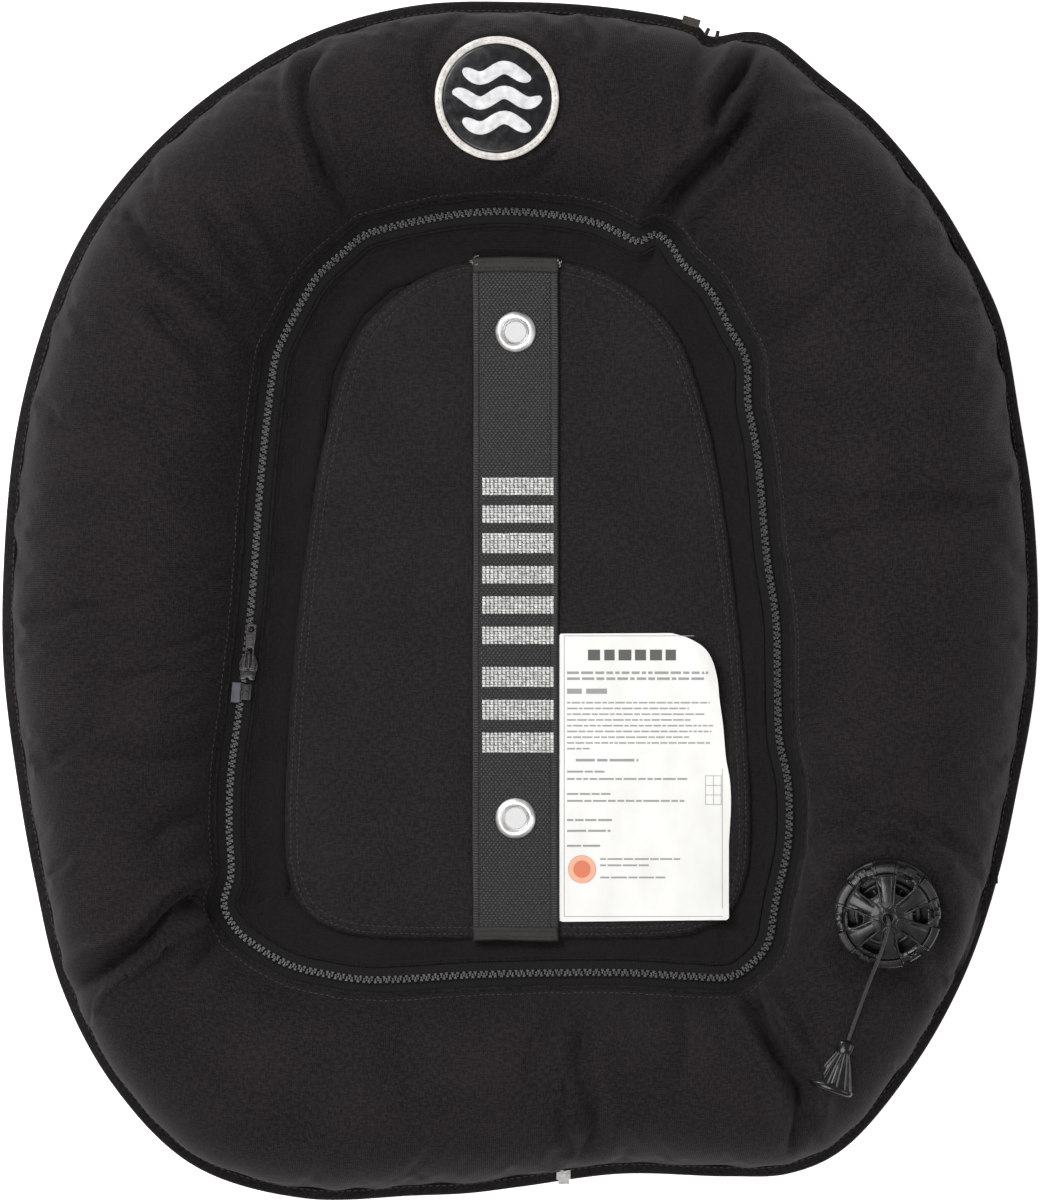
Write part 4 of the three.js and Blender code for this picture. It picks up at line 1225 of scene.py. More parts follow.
def skirtPiece():
    # piped edge on the inner tape, then down into a valley and flat under the pad
    spots, normals = zipFrame(500)
    bead = [(-7.0, 58.6), (-7.2, 59.3), (-7.8, 59.7), (-8.45, 59.4), (-8.75, 58.4), (-9.0, 57.5),
        (-9.6, 57.2)]
    slope = [(-10.6, 57.1), (-12.0, 56.6), (-14.0, 55.6), (-16.5, 54.4), (-19.5, 53.4), (-23.5, 52.8),
        (-28.0, 52.6), (-34.0, 52.5)]
    under = [(-34.0, 51.8), (-23.5, 52.0), (-16.5, 53.3), (-12.0, 55.5), (-9.4, 56.3), (-7.6, 56.7),
        (-7.0, 57.4)]
    ripple = wavy(np.arange(500), 500, (19, 33, 47), 41)
    columns = []
    for d, z in bead + slope + under:
        lift = 0.8 * ripple * smoothStep(-d, 9, 15) * (1 - smoothStep(-d, 22, 30))
        columns.append(np.concatenate([spots + normals * d, (z + lift)[:, None]], 1))
    grid = np.stack(columns, 1)
    makePiece("centre_skirt", (grid.reshape(-1, 3), gridFaces(*grid.shape[:2], True, True)), "skirt",
        flat=grid[:, :, :2].reshape(-1, 2))


def closedSheet(flat, faces, top, low):
    # a solid between two heights over the same triangles
    count = len(flat)
    points = np.concatenate([np.column_stack([flat, np.broadcast_to(top, count)]),
        np.column_stack([flat, np.broadcast_to(low, count)])])
    edges = np.concatenate([faces[:, [0, 1]], faces[:, [1, 2]], faces[:, [2, 0]]])
    keys = set(map(tuple, edges.tolist()))
    rim = [(a, b) for a, b in keys if (b, a) not in keys]
    walls = [[b, a, a + count, b + count] for a, b in rim]
    return points, faces.tolist() + (faces[:, ::-1] + count).tolist() + walls


def insideBetween(rim, holes, margin):
    def test(points, whole=False):
        keep = insideLoop(points, rim)
        for hole in holes:
            keep &= ~insideLoop(points, hole)
        if whole:
            return keep
        near = [distanceToRun(points, loop, True)[0] for loop in [rim, *holes]]
        return keep & (np.min(near, 0) > margin)
    return test


def panelPiece():
    spots, normals = zipFrame(300)
    rim = spots + normals * panel["past"]
    holes = [ringOf(bolt["clear"], 40, spot) for spot in boltSpots]
    flat, faces = filledSheet([rim, *holes], insideBetween(rim, holes, 2.5), 7.0)
    top = np.full(len(flat), panel["top"]) + 0.15 * cloudAt(np.column_stack([flat, flat[:, 0] * 0]), 25,
        2)
    shape = closedSheet(flat, faces, top, panel["low"])
    makePiece("centre_panel_cloth", shape, "skirt", "centre_panel",
        flat=np.concatenate([flat, flat]))


skirtPiece()
panelPiece()


def insetLoop(loop, depth):
    return evenly(loop - outwardOf(loop) * depth, 2.0 if depth < 6 else 2.6, True)


def padTop(flat):
    q, _ = distanceToRun(flat, padCurve, True)
    r = pad["roundness"]
    fall = np.where(q < r, r - np.sqrt(np.maximum(r * r - (r - q) ** 2, 0)), 0)
    rows = sum(0.75 * np.exp(-((q - row) / 0.85) ** 2) for row in pad["rows"])
    swell = 0.35 * cloudAt(np.column_stack([flat, flat[:, 0] * 0]), 38, 4) * smoothStep(q, 6, 20)
    dimple = sum(0.5 * np.exp(-(np.linalg.norm(flat - spot, axis=1) / 15) ** 4) for spot in boltSpots)
    return pad["top"] - fall * (pad["top"] - pad["base"]) / r - rows - dimple + swell


def padPiece():
    insets = (0.35, 1.0, 2.0, 3.2, 4.4, 5.6, 6.9, 8.4, 11.0)
    loops = [padCurve] + [insetLoop(padCurve, depth) for depth in insets]
    holes = [ringOf(bolt["clear"], 36, spot) for spot in boltSpots]
    test = insideBetween(padCurve, holes, 12.5)

    def inside(points, whole=False):
        if whole:
            return test(points, True)
        clear = test(points, True) & (distanceToRun(points, padCurve, True)[0] > 12.5)
        return clear & (np.min([np.linalg.norm(points - spot, axis=1) for spot in boltSpots], 0) > 9)
    flat, faces = filledSheet(loops + holes, inside, 3.0)
    shape = closedSheet(flat, faces, padTop(flat), pad["base"])
    piece = makePiece("pad_cushion", shape, "pad", "pad", flat=np.concatenate([flat, flat]))
    rows = []
    for seed, depth in enumerate(pad["rows"]):
        run = insetLoop(padCurve, depth)
        run = np.column_stack([run, padTop(run)])
        rows.append(stitches(run, size=0.92, seed=50 + seed, lift=0.16))
    sewn("pad_stitches", rows)


padPiece()
print("centre panel, skirt and pad made")

# Webbing: its weave is real relief, with white floats for the woven bars
webbing = {"left": -27.6, "right": 22.4, "foot": -195.5, "head": 196.5, "low": 57.8, "ground": 59.55,
    "relief": 0.95, "acrossPitch": 2.3, "alongPitch": 2.9, "selvedge": 4.4, "step": 0.48}


def weaveHeight(x, y):
    across = np.minimum(x - webbing["left"], webbing["right"] - x)
    stagger = np.cos(2 * np.pi * x / webbing["acrossPitch"]) * np.cos(2 * np.pi * y
        / webbing["alongPitch"])
    ribs = 0.2 + 0.55 * np.cos(4 * np.pi * y / webbing["alongPitch"])
    edge = 1 - smoothStep(across, webbing["selvedge"] - 0.5, webbing["selvedge"] + 0.5)
    bump = (0.5 + 0.5 * (stagger * (1 - edge) + ribs * edge)) ** 1.3
    groove = 0.35 * np.exp(-((across - webbing["selvedge"]) / 0.4) ** 2)
    drop = 0.9 * (1 - smoothStep(across, -0.3, 1.1))
    return webbing["ground"] + webbing["relief"] * bump - groove - drop


def webbingPiece():
    columns = np.linspace(webbing["left"], webbing["right"], int(50 / webbing["step"]) + 1)
    rows = np.linspace(webbing["foot"], webbing["head"], int(392 / webbing["step"]) + 1)
    gy, gx = np.meshgrid(rows, columns, indexing="ij")
    sway = 0.25 * np.sin(gy / 61) + 0.12 * np.sin(gy / 17)
    edgeShare = np.clip((gx - boltSpots[0][0]) / 25, -1, 1) ** 3
    top = np.stack([gx + sway * np.abs(edgeShare), gy, weaveHeight(gx, gy)], -1)
    low = np.stack([gx[:, [-1, 0]], gy[:, [-1, 0]], np.full((len(rows), 2), webbing["low"])], -1)
    grid = np.concatenate([top, low], 1)
    points = grid.reshape(-1, 3)
    faces = gridFaces(len(rows), grid.shape[1], False, True, flip=True)
    middle = points[faces].mean(1)
    clear = np.min([np.linalg.norm(middle[:, :2] - spot, axis=1) for spot in boltSpots], 0) > 8.5
    wide = np.abs(points[faces][:, :, 0].max(1) - points[faces][:, :, 0].min(1)) > 5
    faces = faces[clear & ~wide]
    under = plate([roundCorners([(webbing["left"] + 0.3, webbing["foot"]),
        (webbing["right"] - 0.3, webbing["foot"]), (webbing["right"] - 0.3, webbing["head"]),
        (webbing["left"] + 0.3, webbing["head"])], 0.5), *[ringOf(bolt["clear"], 32, spot)[::-1]
        for spot in boltSpots]], webbing["low"], webbing["ground"] - 0.7)
    makePiece("centre_webbing_strap", joined((points, faces), under), "webbing",
        "centre_webbing")


wovenBars = {"left": -20.7, "right": 18.4, "groups": ((70.4, 27.4), (20.2, -25.8), (-38.6, -87.4)),
    "bars": 3, "gapShare": 0.14, "size": (1.95, 1.3, 0.62), "seed": 21}


def floatShape():
    w, l, h = wovenBars["size"]
    rows, cols = 5, 6
    gx, gy = np.meshgrid(np.linspace(-1, 1, cols), np.linspace(-1, 1, rows))
    dome = h * (1 - np.abs(gx) ** 4) ** 0.5 * (1 - gy ** 2) ** 0.5
    return np.stack([gx * w / 2, gy * l / 2, dome - 0.12], -1).reshape(-1, 3), gridFaces(rows, cols,
        flip=True)


def wovenBarsPiece():
    spots = []
    pitchX, pitchY = webbing["acrossPitch"], webbing["alongPitch"] / 2
    for high, low in wovenBars["groups"]:
        gapSize = (high - low) * wovenBars["gapShare"]
        thick = (high - low - gapSize * (wovenBars["bars"] - 1)) / wovenBars["bars"]
        for k in range(wovenBars["bars"]):
            top = high - k * (thick + gapSize)
            rows = np.arange(math.ceil((top - thick) / pitchY), math.floor(top / pitchY) + 1) * pitchY
            columns = np.arange(math.ceil(wovenBars["left"] / pitchX),
                math.floor(wovenBars["right"] / pitchX) + 1)
            spots += [(x * pitchX, y) for y in rows for x in columns]
    spots = np.array(spots)
    count = len(spots)
    jitter = np.random.default_rng(wovenBars["seed"]).normal(0, 0.05, (count, 2))
    origins = np.column_stack([spots + jitter, np.full(count, webbing["ground"] + 0.5)])
    frameX = np.broadcast_to([1.0, 0, 0], (count, 3))
    frameY = np.broadcast_to([0, 1.0, 0], (count, 3))
    frameZ = np.broadcast_to([0, 0, 1.0], (count, 3))
    makePiece("webbing_white_bars", scatter(floatShape(), origins, frameX, frameY, frameZ), "whiteYarn")


def bandPiece(name, low, high, node, seed):
    half = 24.6
    columns, rows = np.linspace(-half, half, 60), np.linspace(0, 1, 15)
    gy, gx = np.meshgrid(rows, columns, indexing="ij")
    local = np.random.default_rng(seed)
    ribs = 0.1 * np.sin(gy * 6 * np.pi) * (np.abs(gx) < half - 1)
    edge = smoothStep(np.minimum(gy, 1 - gy), -0.02, 0.12) * smoothStep(half - np.abs(gx), -0.3, 1.2)
    height = 60.2 + 1.15 * edge + ribs + 0.12 * np.sin(gx / 4.1 + local.uniform(0, 6))
    x = gx + bolt["x"] + 0.35 * np.sin(gy * 5)
    y = low + gy * (high - low) + 0.3 * np.sin(gx / 9 + seed)
    top = np.stack([x, y, height], -1)
    under = top[:, ::-1].copy()
    under[:, :, 2] = 60.0
    grid = np.concatenate([top, under], 1)
    makePiece(name, (grid.reshape(-1, 3), gridFaces(len(rows), grid.shape[1], False, True, flip=True)),
        "band", node, weld=True)
    sewing = []
    for share in (0.3, 0.72):
        line = np.column_stack([np.linspace(-22, 22, 90) + bolt["x"],
            np.full(90, low + share * (high - low)), np.full(90, 61.3)])
        sewing.append(stitches(line, closed=False, size=0.8, seed=seed, lift=0.12))
    return sewing


def threadEnds():
    # short tails of thread left at the corners of the strap
    tails = []
    local = np.random.default_rng(77)
    for x in (webbing["left"] + 0.6, webbing["right"] - 0.2):
        for k in range(5):
            start = np.array([x + local.uniform(-0.8, 0.8), 194.5 + local.uniform(-1.2, 1.2), 60.2])
            steps = np.cumsum(local.normal(0, 0.75, (6, 3)) + [0.1, 0.15, 0.05], axis=0)
            path = smoothRun(np.vstack([start, start + steps * [1, 1, 0.5]]), 5)
            path[:, 2] = np.clip(path[:, 2], 58.6, 62.5)
            tails.append(sweep(path, 0.2, 6))
    makePiece("strap_thread_ends", joined(*tails), "tail")


webbingPiece()
wovenBarsPiece()
sewn("band_stitches", bandPiece("webbing_band_head", 188.2, 196.9, "webbing_band_top", 8)
    + bandPiece("webbing_band_foot", -195.9, -187.6, "webbing_band_bottom", 9))
threadEnds()

# Eyelets
eyelet = {"bore": 5.95, "barrel": 6.75, "flange": 11.75, "low": 46.6, "seat": 60.6}


def eyeletPieces():
    b, r, f, low, seat = (eyelet[k] for k in ("bore", "barrel", "flange", "low", "seat"))
    profile = roundCorners([(b, low), (r, low), (r, seat), (f - 0.3, seat - 0.35), (f, seat + 0.1),
        (f - 0.35, seat + 0.8), (f - 1.6, seat + 1.65), (9.2, seat + 2.05), (7.9, seat + 1.75),
        (7.3, seat + 1.05), (6.5, seat + 0.55), (b, seat - 0.5)], 0.7, 5)
    roll = roundCorners([(r + 0.3, 47.2), (f - 0.9, 47.2), (f, 47.9), (f, 49.0), (f - 0.8, 49.7),
        (r + 0.3, 49.7)], 0.8, 5)
    for end, spot in zip(("upper", "lower"), boltSpots):
        place = (*spot, 0)
        makePiece("eyelet_" + end, moved(lathe(profile, 96), place), "nickel", "grommet_" + end,
            weld=True)
        makePiece("eyelet_washer_" + end, moved(lathe(roll, 72), place), "nickel",
            "grommet_washer_" + end, weld=True)


eyeletPieces()
print("webbing and eyelets made")

# Loose sheet beside the webbing, with one corner curled up
label = {"width": 97.5, "length": 166.5, "height": 58.15, "thickness": 0.28, "curlRadius": 21.0,
    "curlFrom": (86.0, -19.0), "curlTo": (121.0, -122.0)}
labelEdge = np.array([(22.7, -18.4), (22.7, -184.9), (120, -183.8), (120, -139.6), (121.2, -117.2),
    (120.6, -104), (118.3, -90.7), (116.6, -72), (114.5, -56.9), (113.4, -46), (110.3, -34.5),
    (105.7, -27.4), (96.5, -21.8), (87.3, -19)])


def labelHeight(flat):
    start, end = np.array(label["curlFrom"]), np.array(label["curlTo"])
    along = (end - start) / np.linalg.norm(end - start)
    beyond = (flat - start) @ np.array([-along[1], along[0]])
    s = np.clip(beyond, 0, label["curlRadius"] * 0.93)
    curl = label["curlRadius"] - np.sqrt(label["curlRadius"] ** 2 - s ** 2)
    wave = 0.3 * np.sin((flat[:, 1] + 20) / 23) * smoothStep(flat[:, 0], 40, 118)
    foot = 1.4 * smoothStep(flat[:, 0], 95, 121) * smoothStep(-flat[:, 1], 168, 186)
    return label["height"] + curl + np.abs(wave) + foot


def labelPieces():
    corners = roundCorners(labelEdge[:4], 1.2, 3)
    rim = evenly(np.concatenate([corners[:12], smoothRun(labelEdge[3:], 6)]), 2.0, True)
    flat, faces = filledSheet([rim], insideBetween(rim, [], 1.5), 3.2)
    top = labelHeight(flat)
    sheet = makePiece("label_sheet", closedSheet(flat, faces, top + label["thickness"] / 2,
        top - label["thickness"] / 2), "paper", "label")
    sharpen(sheet, 60)
    return sheet


def printed(x0, x1, y, tall):
    # a thin printed bar that follows the sheet
    xs = np.linspace(x0, x1, max(2, int((x1 - x0) / 2.5) + 2))
    rows = np.array([y + tall / 2, y - tall / 2])
    gy, gx = np.meshgrid(rows, xs, indexing="ij")
    flat = np.stack([gx.ravel(), gy.ravel()], 1)
    height = labelHeight(flat) + label["thickness"] / 2 + 0.05
    return np.column_stack([flat, height]), gridFaces(2, len(xs), flip=True)


def words(x0, x1, y, tall, local, average=5.0):
    out, x = [], x0
    while x < x1 - 1:
        end = min(x1, x + local.uniform(0.45, 1.6) * average)
        out.append(printed(x, end, y, tall))
        x = end + tall * 0.8
    return out


def labelPrint():
    local = np.random.default_rng(5)
    dark = [printed(x, x + w, -31.6, 6.2) for x, w in ((39, 7), (48.4, 6), (56.6, 7.4), (66, 6.4),
        (74.6, 7), (83.6, 6))]
    fine = words(27, 108, -41.8, 1.5, local) + words(27, 106, -45.2, 1.5, local)
    fine += words(27, 50, -52.4, 3.0, local, 12)
    for k in range(9):
        fine += words(27, 27 + local.uniform(70, 84) if k < 8 else 40, -59.0 - 3.3 * k, 0.9, local, 4)
    fine += words(32, 68, -92.0, 1.5, local, 9)
    for y, end in ((-98.6, 50), (-102.8, 96), (-111.4, 52), (-115.4, 96)):
        fine += words(27, end, y, 1.1, local, 6)
    fine += words(27, 54, -126.4, 1.2, local, 7) + words(27, 52, -132.6, 1.2, local, 7) + words(27, 46,
        -141.2, 1.2, local, 7)
    fine += words(46, 92, -148.8, 1.0, local, 6) + words(46, 74, -152.4, 1.0, local, 6) + words(46, 84,
        -159.4, 1.0, local, 6)
    frameX = (106.4, 115.6)
    fine += [printed(*frameX, y, 0.35) for y in (-101, -106.5, -112, -117.5)]
    fine += [printed(x, x + 0.35, -109.2, 16.8) for x in (106.4, 111, 115.4)]
    border = [printed(25.2, 100, -20.6, 0.35), printed(25.2, 116.4, -181.8, 0.35)]
    border += [printed(25.2, 25.6, y, 8.2) for y in np.arange(-24.7, -181, -8.06)]
    border += [printed(116.0, 116.4, y, 8.2) for y in np.arange(-101, -181, -8.0)]
    turn = np.linspace(0, 2 * np.pi, 48, endpoint=False)
    disc = np.array([35.6, -154.6]) + 8.0 * np.stack([np.cos(turn), np.sin(turn)], 1)
    inner = np.array([35.6, -154.6]) + 5.0 * np.stack([np.cos(turn), np.sin(turn)], 1)
    height = label["height"] + label["thickness"] / 2 + 0.34
    discShape = (np.column_stack([disc, np.full(48, height)]), [list(range(48))])
    ringShape = (np.column_stack([np.concatenate([disc * 0.93 + inner * 0.07, inner]),
        np.full(96, height + 0.03)]), gridFaces(2, 48, False, True, flip=False))
    pieces = [
        makePiece("label_lines", joined(*fine, *border), "print"),
        makePiece("label_heading", joined(*dark), "printDark"),
        makePiece("label_disc", discShape, "printDisc"),
        makePiece("label_disc_ring", ringShape, "printRing"),
    ]
    return pieces


labelSheet = labelPieces()
labelPrint()


# Round badge at the head end
def badgePieces():
    top, r = badge["top"], badge["radius"]
    place = (*badge["centre"], 0)
    backing = lathe(roundCorners([(0.0, 101.0), (r - 0.5, 101.0), (r, 101.5), (r, 102.6), (r - 0.5, 103.1),
        (0.0, 103.1)], 0.3, 3), 128, True)
    disc = lathe([(0.0, 102.9), (31.2, 102.9), (31.3, 103.6), (30.9, 104.0), (29.8, 104.25), (15, 104.35),
        (0.0, 104.4)], 128, True)
    ring = lathe(roundCorners([(r - badge["ringWidth"], 103.0), (r - 0.1, 103.0), (r, 104.2),
        (r - 0.9, top), (r - badge["ringWidth"] + 0.9, top), (r - badge["ringWidth"], 104.3)], 0.8, 4),
        160)
    makePiece("badge_base", moved(backing, place), "rubber", "badge_backing", weld=True)
    makePiece("badge_face", moved(disc, place), "badgeDisc", "badge_disc", weld=True)
    makePiece("badge_rim", moved(ring, place), "badgeRing", "badge_ring", weld=True)
    waves = []
    for k, (y, half) in enumerate(((14.5, 19.5), (0.3, 25.5), (-14, 19.5))):
        x = np.linspace(-half, half, 72)
        path = np.column_stack([x, y + 3.0 * np.sin(x / 4.4 + 0.6), np.full(72, 104.35)])
        ends = np.sqrt(np.clip(1 - (np.abs(x) / half) ** 6, 0.05, 1))
        waves.append(sweep(path, 3.9 * ends, 16, squeeze=(1.0, 0.14), up=(0, 0, 1)))
    makePiece("badge_waves", moved(joined(*waves), place), "badgeWave")
    turn = np.arange(400) * 2 * np.pi / 400
    line = np.column_stack([33.4 * np.cos(turn), 33.4 * np.sin(turn), np.full(400, top)]) + place
    makePiece("badge_stitches", stitches(line, size=0.8, seed=15, lift=0.05), "badgeThread")


badgePieces()
print("label and badge made")

# Dump valve on its own tilted axis; w is the height along it
cap = {"windows": 6, "windowAt": 3.0, "spokeAt": 33.0}


def capHeight(r):
    return np.interp(r, [0, 1.8, 4, 8, 14, 20, 23.6, 24.8, 25.6, 26.3, 27.5, 28.6, 29.0],
        [16.0, 16.0, 16.0, 15.6, 15.0, 14.1, 13.3, 12.7, 10.7, 10.0, 9.9, 9.6, 8.8])


def fromWindow(x, y):
    # degrees away from the middle of the nearest window
    turn = np.degrees(np.arctan2(y, x)) - cap["windowAt"]
    return np.abs((turn + 30) % 60 - 30)


def lug(turn, start, end, radius, half, top, foot=6.0):
    # finger grip block on the rim, from its foot up to "top"
    arc = np.radians(np.linspace(start, end, max(4, int((end - start) / 2.2)))) + turn
    path = np.stack([radius * np.cos(arc), radius * np.sin(arc), np.full(len(arc), foot)], 1)
    height = top - foot
    section = roundCorners([(-half, min(0, 2 - foot)), (half, min(0, 2 - foot)), (half, height - 1.3),
        (half - 1.0, height - 0.3), (-half + 0.6, height), (-half, height - 0.8)], 0.35, 3)
    return sweep(path, 1.0, section=section)


def capPiece():
    window = []
    half = [(14.2, 8.6), (15.6, 13.6), (21.9, 14.8), (23.6, 12.2)]
    for k in range(cap["windows"]):
        turn = math.radians(cap["windowAt"] + 60 * k)
        corners = half + [(r, -d) for r, d in half[::-1]]
        points = [(r * math.cos(turn + math.radians(d)), r * math.sin(turn + math.radians(d))) for r,
            d in corners]
        window.append(evenly(roundCorners(points, 2.4, 4), 0.8, True))
    rings = [ringOf(r, n) for r, n in ((29.0, 150), (28.6, 150), (27.5, 144), (26.3, 140), (25.6, 136),
        (24.8, 132))]
    hub = [ringOf(1.8, 28), ringOf(2.4, 30), ringOf(4.2, 40), ringOf(6.0, 48)]
    holes = window + [hub[0]]
    test = insideBetween(rings[0], holes, 0.7)
    flat, faces = filledSheet(rings + hub + window, test, 0.9)
    r = np.linalg.norm(flat, axis=1)
    top = capHeight(r)
    top += 0.6 * np.exp(-((r - 3.6) / 1.1) ** 2)
    spread = np.radians(fromWindow(flat[:, 0], flat[:, 1])) * r
    dish = 1 - smoothStep(spread, 4.6, 6.2)
    top -= 1.5 * dish * smoothStep(r, 9.5, 14) * (1 - smoothStep(r, 23.8, 24.8))
    crown = closedSheet(flat, faces, top, 0)
    crown[0][len(flat):, 2] = top - np.interp(r, [0, 26, 28.4, 29], [2.0, 1.8, 1.4, 1.0])
    wall = turned([(26.6, 1.6), (28.6, 1.6), (29.0, 2.2), (29.0, 9.0), (28.3, 9.4), (26.6, 9.2)], 0.4, 3,
        150)
    ribs = []
    for k in range(6):
        turn = math.radians(cap["spokeAt"] + 60 * k)
        outline = [(28.4, 7.6), (25.6, 6.6), (22, 5.5), (17, 4.5), (12, 4.0), (8.0, 3.4), (6.0, 2.0),
            (5.4, 0), (6.0, -2.0), (8.0, -3.4), (12, -4.0), (17, -4.5), (22, -5.5), (25.6, -6.6),
            (28.4, -7.6)]
        path = smoothRun([(x, y) for x, y in outline], 5)
        across = np.stack([path[:, 0] * math.cos(turn) - path[:, 1] * math.sin(turn),
            path[:, 0] * math.sin(turn) + path[:, 1] * math.cos(turn)], 1)
        lift = capHeight(np.linalg.norm(path, axis=1)) + 0.2
        ribs.append(sweep(np.column_stack([across, lift]), 0.62, 10, squeeze=(1, 1.0)))
        inner = np.linspace(9.5, 23.5, 14)
        spine = np.stack([inner * math.cos(turn), inner * math.sin(turn), capHeight(inner) + 0.02], 1)
        ribs.append(sweep(spine, np.interp(inner, [9.5, 23.5], [2.2, 3.6]), 12, squeeze=(1, 0.12)))
    lugs = []
    for k in range(12):
        turn = math.radians(cap["windowAt"] + 30 * k)
        if k % 2:
            lugs.append(lug(turn, -10.8, 10.8, 28.0, 2.6, 13.0))
            lugs += [lug(turn, s * 12.6 - 1.2, s * 12.6 + 1.2, 28.0, 2.6, 14.0) for s in (-1, 1)]
        else:
            lugs += [lug(turn, s * 3.4 - 1.3, s * 3.4 + 1.3, 28.0, 1.7, 13.2, 10.2) for s in (-1, 1)]
            lugs.append(lug(turn, -6.6, 6.6, 28.0, 2.3, 10.9))
    hubRim = sweep(np.column_stack([ringOf(3.3, 48), np.full(48, 16.45)]), 0.8, 10, True)
    shape = joined(crown, wall, *ribs, *lugs, hubRim)
    sharpen(makePiece("dump_cap_cover", onValve(shape), "cap", "dump_cap"), 42)


def valvePieces():
    rim = valve["flange"] - 0.7
    seat = roundCorners([(12.5, -9), (rim, -9), (rim, -0.8), (rim - 0.8, 0), (17, 0), (16.5, 1.5),
        (13.4, 1.5), (12.5, 0.8)], 0.5, 3)
    makePiece("dump_seat_ring", onValve(lathe(seat, 128)), "valve", "dump_seat",
        weld=True)
    makePiece("dump_gasket_ring", onValve(turned([(23, .3), (29, .3), (29, 1.3), (23, 1.3)], .3, 4, 96)),
        "seal", "dump_gasket", weld=True)
    makePiece("dump_seal_ring", onValve(turned([(12.5, 1.8), (18, 1.8), (18, 3.3), (12.5, 3.3)], .5, 4,
        72)), "seal", "dump_seal", body="dump_poppet", weld=True)
    disc = lathe([(0, 3.6), (18.4, 3.6), (19, 4.0), (19, 5.0), (18.4, 5.4), (16.5, 5.4), (16, 4.9),
        (6, 4.9), (4.4, 5.4), (4.2, 6.2), (3.8, 6.6), (0, 6.6)], 96)
    webs = [moved(block(5, -0.6, 4.7, 16.2, 0.6, 5.4, 0.15), (0, 0, 0),
        turnAbout("Z", math.radians(60 * k))) for k in range(6)]
    makePiece("dump_poppet_disc", onValve(joined(disc, *webs)), "valve", "dump_poppet",
        body="dump_poppet", weld=True)
    turns, samples = 4.5, 220
    at = np.linspace(0, 1, samples)
    angle = 2 * np.pi * turns * at
    coil = np.stack([8 * np.cos(angle), 8 * np.sin(angle), 6.0 + 6.2 * smoothStep(at, 0.02, 0.98)], 1)
    spring = makePiece("dump_return_spring", onValve(sweep(coil, 0.55, 10)), "steel",
        "dump_spring")
    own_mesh(spring)


capPiece()
valvePieces()


# Pull knob: a fluted bell pressed flat
knob = {"place": np.array([186.6, -252.4, pullCord["rest"]]), "turn": -19.5, "flat": 0.46, "flutes": 12}


def knobPiece():
    profile = smoothRun([(0.0, 0.0), (3.3, 0.05), (4.3, 0.6), (4.6, 2.2), (4.5, 4.4), (4.0, 6.2),
        (4.1, 7.8), (5.4, 10.5), (7.6, 15.5), (9.8, 21.0), (11.4, 24.8), (12.6, 26.4), (12.9, 27.4),
        (12.4, 28.7), (10.6, 29.5), (5.0, 29.4), (0.0, 29.4)], 5)
    segments = 140
    turn = np.arange(segments) * 2 * np.pi / segments
    r, z = profile[:, 0], profile[:, 1]
    ridge = np.maximum(0, np.cos(knob["flutes"] * turn)) ** 3.5
    onBell = smoothStep(z, 7.2, 9.5) * (1 - smoothStep(z, 24.2, 26.0)) * (r > 3.9)
    radius = r[None, :] + (0.9 * ridge[:, None] - 0.5) * onBell[None, :]
    fine = 0.1 * np.sin(z * 2 * np.pi / 0.9)[None, :] * onBell[None, :] * (1 - ridge[:, None])
    radius = radius + fine
    points = np.stack([radius * np.cos(turn)[:, None], radius * np.sin(turn)[:, None] * knob["flat"],
        np.broadcast_to(z, radius.shape)], -1)
    shape = (points.reshape(-1, 3), gridFaces(segments, len(profile), True, False))
    toSide = Matrix.Rotation(math.radians(knob["turn"]), 3, "Z") @ Matrix.Rotation(math.pi / 2, 3, "X")
    ribs = []
    for k in range(12):
        at = math.radians((27, 51, 77, 103, 129, 153)[k % 6]) * (1 if k < 6 else -1)
        high = np.linspace(6.5, 26.2, 16)
        reach = np.interp(high, z, r) + 0.25
        path = np.stack([reach * math.cos(at), reach * math.sin(at) * knob["flat"], high], 1)
        ribs.append(sweep(path, np.interp(high, [6.5, 26.2], [0.42, 0.7]), 10,
            up=(math.cos(at), math.sin(at), 0)))
    # the ribs carry the lighter paint, which is painted highlight
    makePiece("pull_knob_ribs", moved(joined(*ribs), knob["place"], toSide), "knobRibHighlight",
        body="dump_poppet")
    return makePiece("pull_knob", moved(shape, knob["place"], toSide), "knob", "dump_knob",
        body="dump_poppet", weld=True)


knobObject = knobPiece()
print("dump valve made")

# Elbow, hose ends and power inflator, stored flat under the wing
elbowTurn = turnAbout("Z", elbow["spigotTurn"])


def alongSpigot(shape):
    toSpigot = elbowTurn @ turnAbout("Y", math.pi / 2)
    return moved(shape, (*elbow["place"], hose["height"]), toSpigot)


def elbowPieces():
    body = moved(turned([(0, 1), (8.6, 1), (12.2, 3.4), (14, 7.5), (14, 26), (14, 46), (11.5, 46),
        (11.5, 12), (0, 12)], 1.2, 4, 72), (*elbow["place"], 0))
    spigot = alongSpigot(turned([(0, 2), (10.5, 2), (10.5, 16), (11.3, 17.5), (10.5, 19.5), (10.5, 22),
        (8.5, 22), (8.5, 8), (0, 8)], 0.6, 4, 64))
    collar = alongSpigot(turned([(9, 8.5), (12.4, 9.5), (12.4, 12.5), (9, 13.5)], 0.8, 4, 64))
    sharpen(makePiece("elbow_body", joined(body, spigot, collar), "valve", "elbow"), 50)
    knurls = [moved(block(17.0, -1.1, 26.9, 18.3, 1.1, 30.7, 0.25), (*elbow["place"], 0),
        turnAbout("Z", math.radians(15 * k))) for k in range(24)]
    ring = moved(turned([(14.3, 26.6), (17.6, 26.6), (17.6, 31), (14.3, 31)], 0.5, 3, 96),
        (*elbow["place"], 0))
    makePiece("elbow_lock_ring", joined(ring, *knurls), "valve", "elbow_ring")


